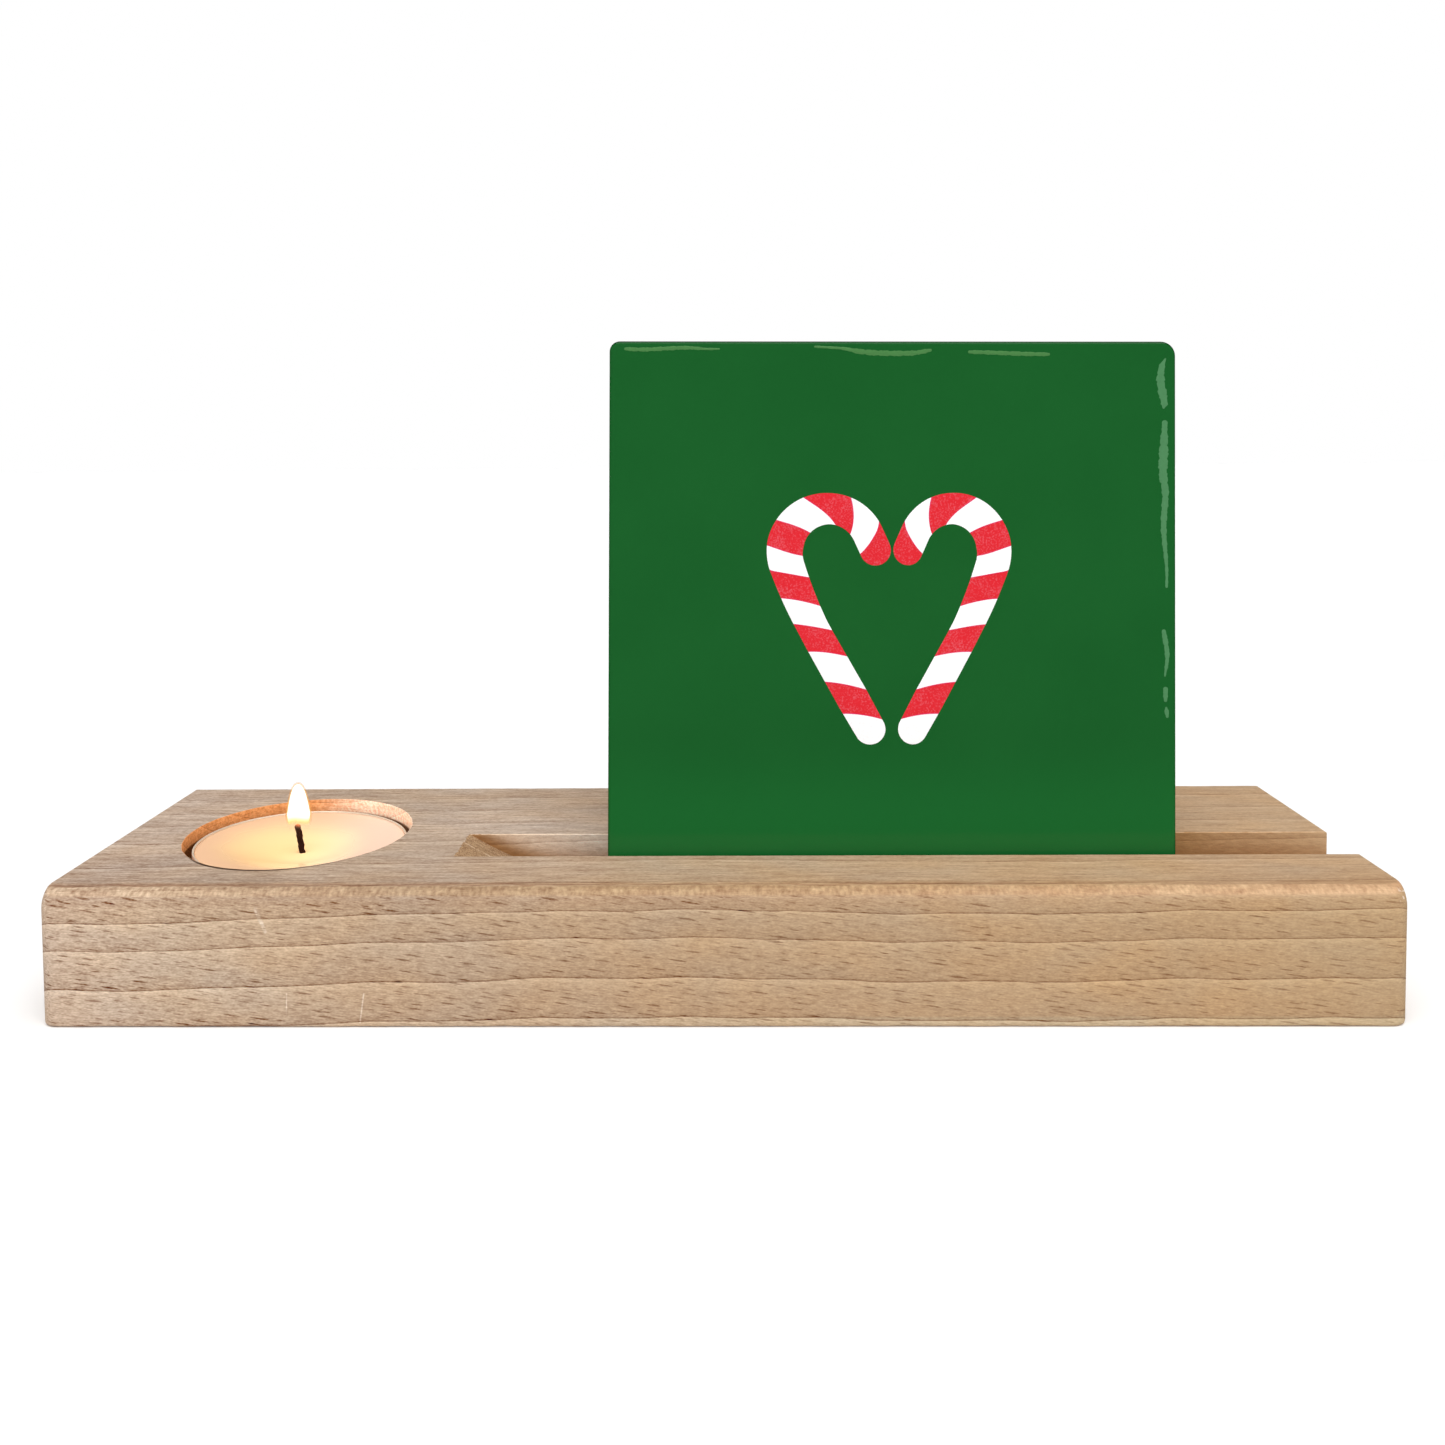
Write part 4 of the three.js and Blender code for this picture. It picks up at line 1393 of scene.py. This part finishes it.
def wax_finish():
    """Paraffin: satin and pinkish white at the edge, clear and yellow where it is molten. The
    molten part has spread a little further to the left of the wick."""
    recipe, place = new_finish("wax")
    x, y, z = recipe.split(place)
    from_pool = recipe.distance(x - (CUP_X - POOL_LEFT), y - CUP_Y)
    wobble = recipe.noise(place, 0.12)
    molten = 1 - recipe.ease(from_pool + (wobble - 0.5) * 4, POOL_RADIUS - 4.0, POOL_RADIUS + 4.0)
    to_right = recipe.ease(x - CUP_X, -6, 14)
    edge_tone = recipe.mix(to_right, (238, 194, 155), (246, 211, 188))
    pool_tone = recipe.mix(to_right, (250, 213, 158), (252, 236, 202))
    tone = recipe.mix(molten, edge_tone, pool_tone)
    return close_finish(recipe, Base_Color=tone, Roughness=0.4 - molten * 0.28, Specular_IOR_Level=0.4,
                        Emission_Color=tone, Emission_Strength=0.1,
                        Normal=relief(recipe, wobble * (1 - molten), 0.1))


wax = skin("wax_fill", wax_rings(), wax_finish(), smooth_below=60)
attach(wax, "root")
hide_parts("tealight_wax")

# %% [markdown]
# ## Wick
#
# The wick is a braided cotton cord, burnt black above the wax and glowing dull red at its
# tip. It leans to the left. Its rings follow the leaning line, and three lobes that turn as
# they rise give the braid.

# %% Wick
WICK_RADIUS = 0.53
WICK_TOP = CUP_RIM + 3.1
WICK_FOOT = WAX_POOL - 3
WICK_LEAN = 0.8
WICK_SIDES = 30


def wick_rings():
    """Lobed circles along the wick: the middle drifts left with the height above the wax, and
    the radius swells at three lobes, which turn as the wick rises: a lobe takes the place of
    the next one every two millimetres."""
    height = np.linspace(WICK_FOOT, WICK_TOP, 70)
    above = np.clip(height - WAX_POOL, 0, None) / (WICK_TOP - WAX_POOL)
    angle = np.linspace(0, 2 * np.pi, WICK_SIDES, endpoint=False)
    lobes = 1 + 0.1 * np.cos(3 * angle + np.pi * height[:, None])
    tip = np.sqrt(np.clip(1 - ((above - 0.88) / 0.125).clip(0, 0.97) ** 2, 0.05, 1))
    uneven = 1 + wander(height, 0.06, (1.7, 0.9), seed=5)
    radius = WICK_RADIUS * lobes * tip[:, None] * uneven[:, None]
    middle = -WICK_LEAN * above + wander(height, 0.03, (3.1, 1.3), seed=6)
    x = middle[:, None] + radius * np.cos(angle)
    y = radius * np.sin(angle)
    z = np.repeat(height[:, None], WICK_SIDES, axis=1)
    return in_recess(np.stack([x, y, z], axis=-1))


def wick_finish():
    """Char with a matt black crust, and a dull ember at the very tip."""
    recipe, place = new_finish("char")
    z = recipe.split(place)[2]
    crust = recipe.noise(place, 4, detail=3.0)
    ember = recipe.ease(z + (crust - 0.5) * 0.6, WICK_TOP - 0.8, WICK_TOP)
    tone = recipe.mix(ember, recipe.mix(crust, (20, 9, 6), (58, 30, 20)), (96, 48, 30))
    return close_finish(recipe, Base_Color=tone, Roughness=0.95, Specular_IOR_Level=0.1,
                        Normal=relief(recipe, crust, 0.08))


wick = skin("burnt_wick", wick_rings(), wick_finish(), smooth_below=60)
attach(wick, "root")
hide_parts("tealight_wick")

# %% [markdown]
# ## Flame
#
# A flame has no surface, only hot gas that is white in the middle and orange at the skin.
# Three nested teardrops stand for it. The innermost shines white and fades to nothing at
# its foot, round the wick. The other two are a hair larger and ever clearer, so they show
# only as a soft orange outline. A small warm lamp inside lights the wax and the recess.

# %% Flame shapes
FLAME_TIP = 30.7
FLAME_BELLY = 25.3
FLAME_FOOT = 21.2
FLAME_HALF_WIDTH = 1.95
FLAME_X = -0.55
FLAME_ARCH = 0.7


def flame_rings(grow):
    """A teardrop, grown outwards by so many millimetres. Above the belly the half width is a
    power of the distance below the tip, which gives long full sides and a soft tip. Below it,
    the half width follows a quarter of an ellipse."""
    below_tip = np.linspace(0.04, 1, 40) ** 2
    turn = quarter(14)[1:] * 0.99
    tip = FLAME_TIP + grow
    foot = FLAME_FOOT - grow
    upper = tip - below_tip * (tip - FLAME_BELLY)
    lower = FLAME_BELLY - (FLAME_BELLY - foot) * np.sin(turn)
    half = FLAME_HALF_WIDTH * np.concatenate([below_tip**0.4, np.cos(turn)])
    half = half * (1 + grow / FLAME_HALF_WIDTH)
    rings = turned_rings(list(zip(half, np.concatenate([upper, lower]))), steps=48)
    return in_recess(rings + [FLAME_X, 0, 0])


print("flame", FLAME_TIP - FLAME_FOOT, "mm high and", 2 * FLAME_HALF_WIDTH, "mm wide")

# %% Light of the flame's skins
def glow_finish(name, low, high, strength, brighter, fade, most):
    """Light given off by a flame's skin, from one screen colour low down to another higher
    up. It is clear below the fade and at its most above it, where it is also so many times
    brighter. The clear part arches up round the wick: it is higher in the flame's middle
    than at its sides by the square of the distance from the middle."""
    recipe, place = new_finish(name)
    x, y, z = recipe.split(place)
    aside = (x - (CUP_X + FLAME_X)) * (1 / FLAME_HALF_WIDTH)
    z = z + aside * aside * FLAME_ARCH
    height = recipe.ease(z, fade[0] + 0.3, fade[1] + 0.8)
    colour = recipe.scaled(recipe.mix(height, low, high), 1 + height * (brighter - 1))
    light = recipe.node("Emission", sockets={"Color": colour, "Strength": strength})
    clear = recipe.node("BsdfTransparent")
    body = recipe.ease(z, *fade) * most
    surface = recipe.node("MixShader", sockets={0: body, 1: clear, 2: light})
    recipe.node("OutputMaterial", sockets={"Surface": surface})
    return recipe.owner


FLAME_SKINS = {
    "flame_core": (0.0, {"low": (255, 226, 120), "high": (255, 255, 250), "strength": 1.5,
                         "brighter": 2.4, "fade": (23.7, 25.2), "most": 1.0}),
    "flame_skin": (0.16, {"low": (255, 214, 130), "high": (255, 214, 150), "strength": 1.1,
                          "brighter": 1.0, "fade": (23.4, 25.0), "most": 0.5}),
    "flame_haze": (0.4, {"low": (255, 232, 190), "high": (255, 176, 96), "strength": 1.0,
                         "brighter": 1.0, "fade": (22.6, 25.4), "most": 0.22}),
}
for flame_name, (grow, glow) in FLAME_SKINS.items():
    glowing = glow_finish(flame_name, **glow)
    flame = skin(flame_name, flame_rings(grow), glowing, smooth_below=80)
    flame.visible_shadow = False
    flame.visible_diffuse = False
    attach(flame, "root")

# %% Flame light
FLAME_POWER = 0.0016
FLAME_COLOUR = (1.0, 0.62, 0.3)
LAMP_RADIUS = 1.6
LAMP_PLACE = Vector((CUP_X - 0.5, CUP_Y, 24.4))

lamp_data = bpy.data.lights.new("flame_lamp", "POINT")
lamp_data.energy = FLAME_POWER
lamp_data.color = FLAME_COLOUR
lamp_data.shadow_soft_size = LAMP_RADIUS * MM
lamp = add_object("flame_lamp", lamp_data)
lamp.location = LAMP_PLACE * MM
print("flame lamp", FLAME_POWER, "W")

# %% [markdown]
# ## Sizes
#
# The dressed model has to fill the same box as the solids.
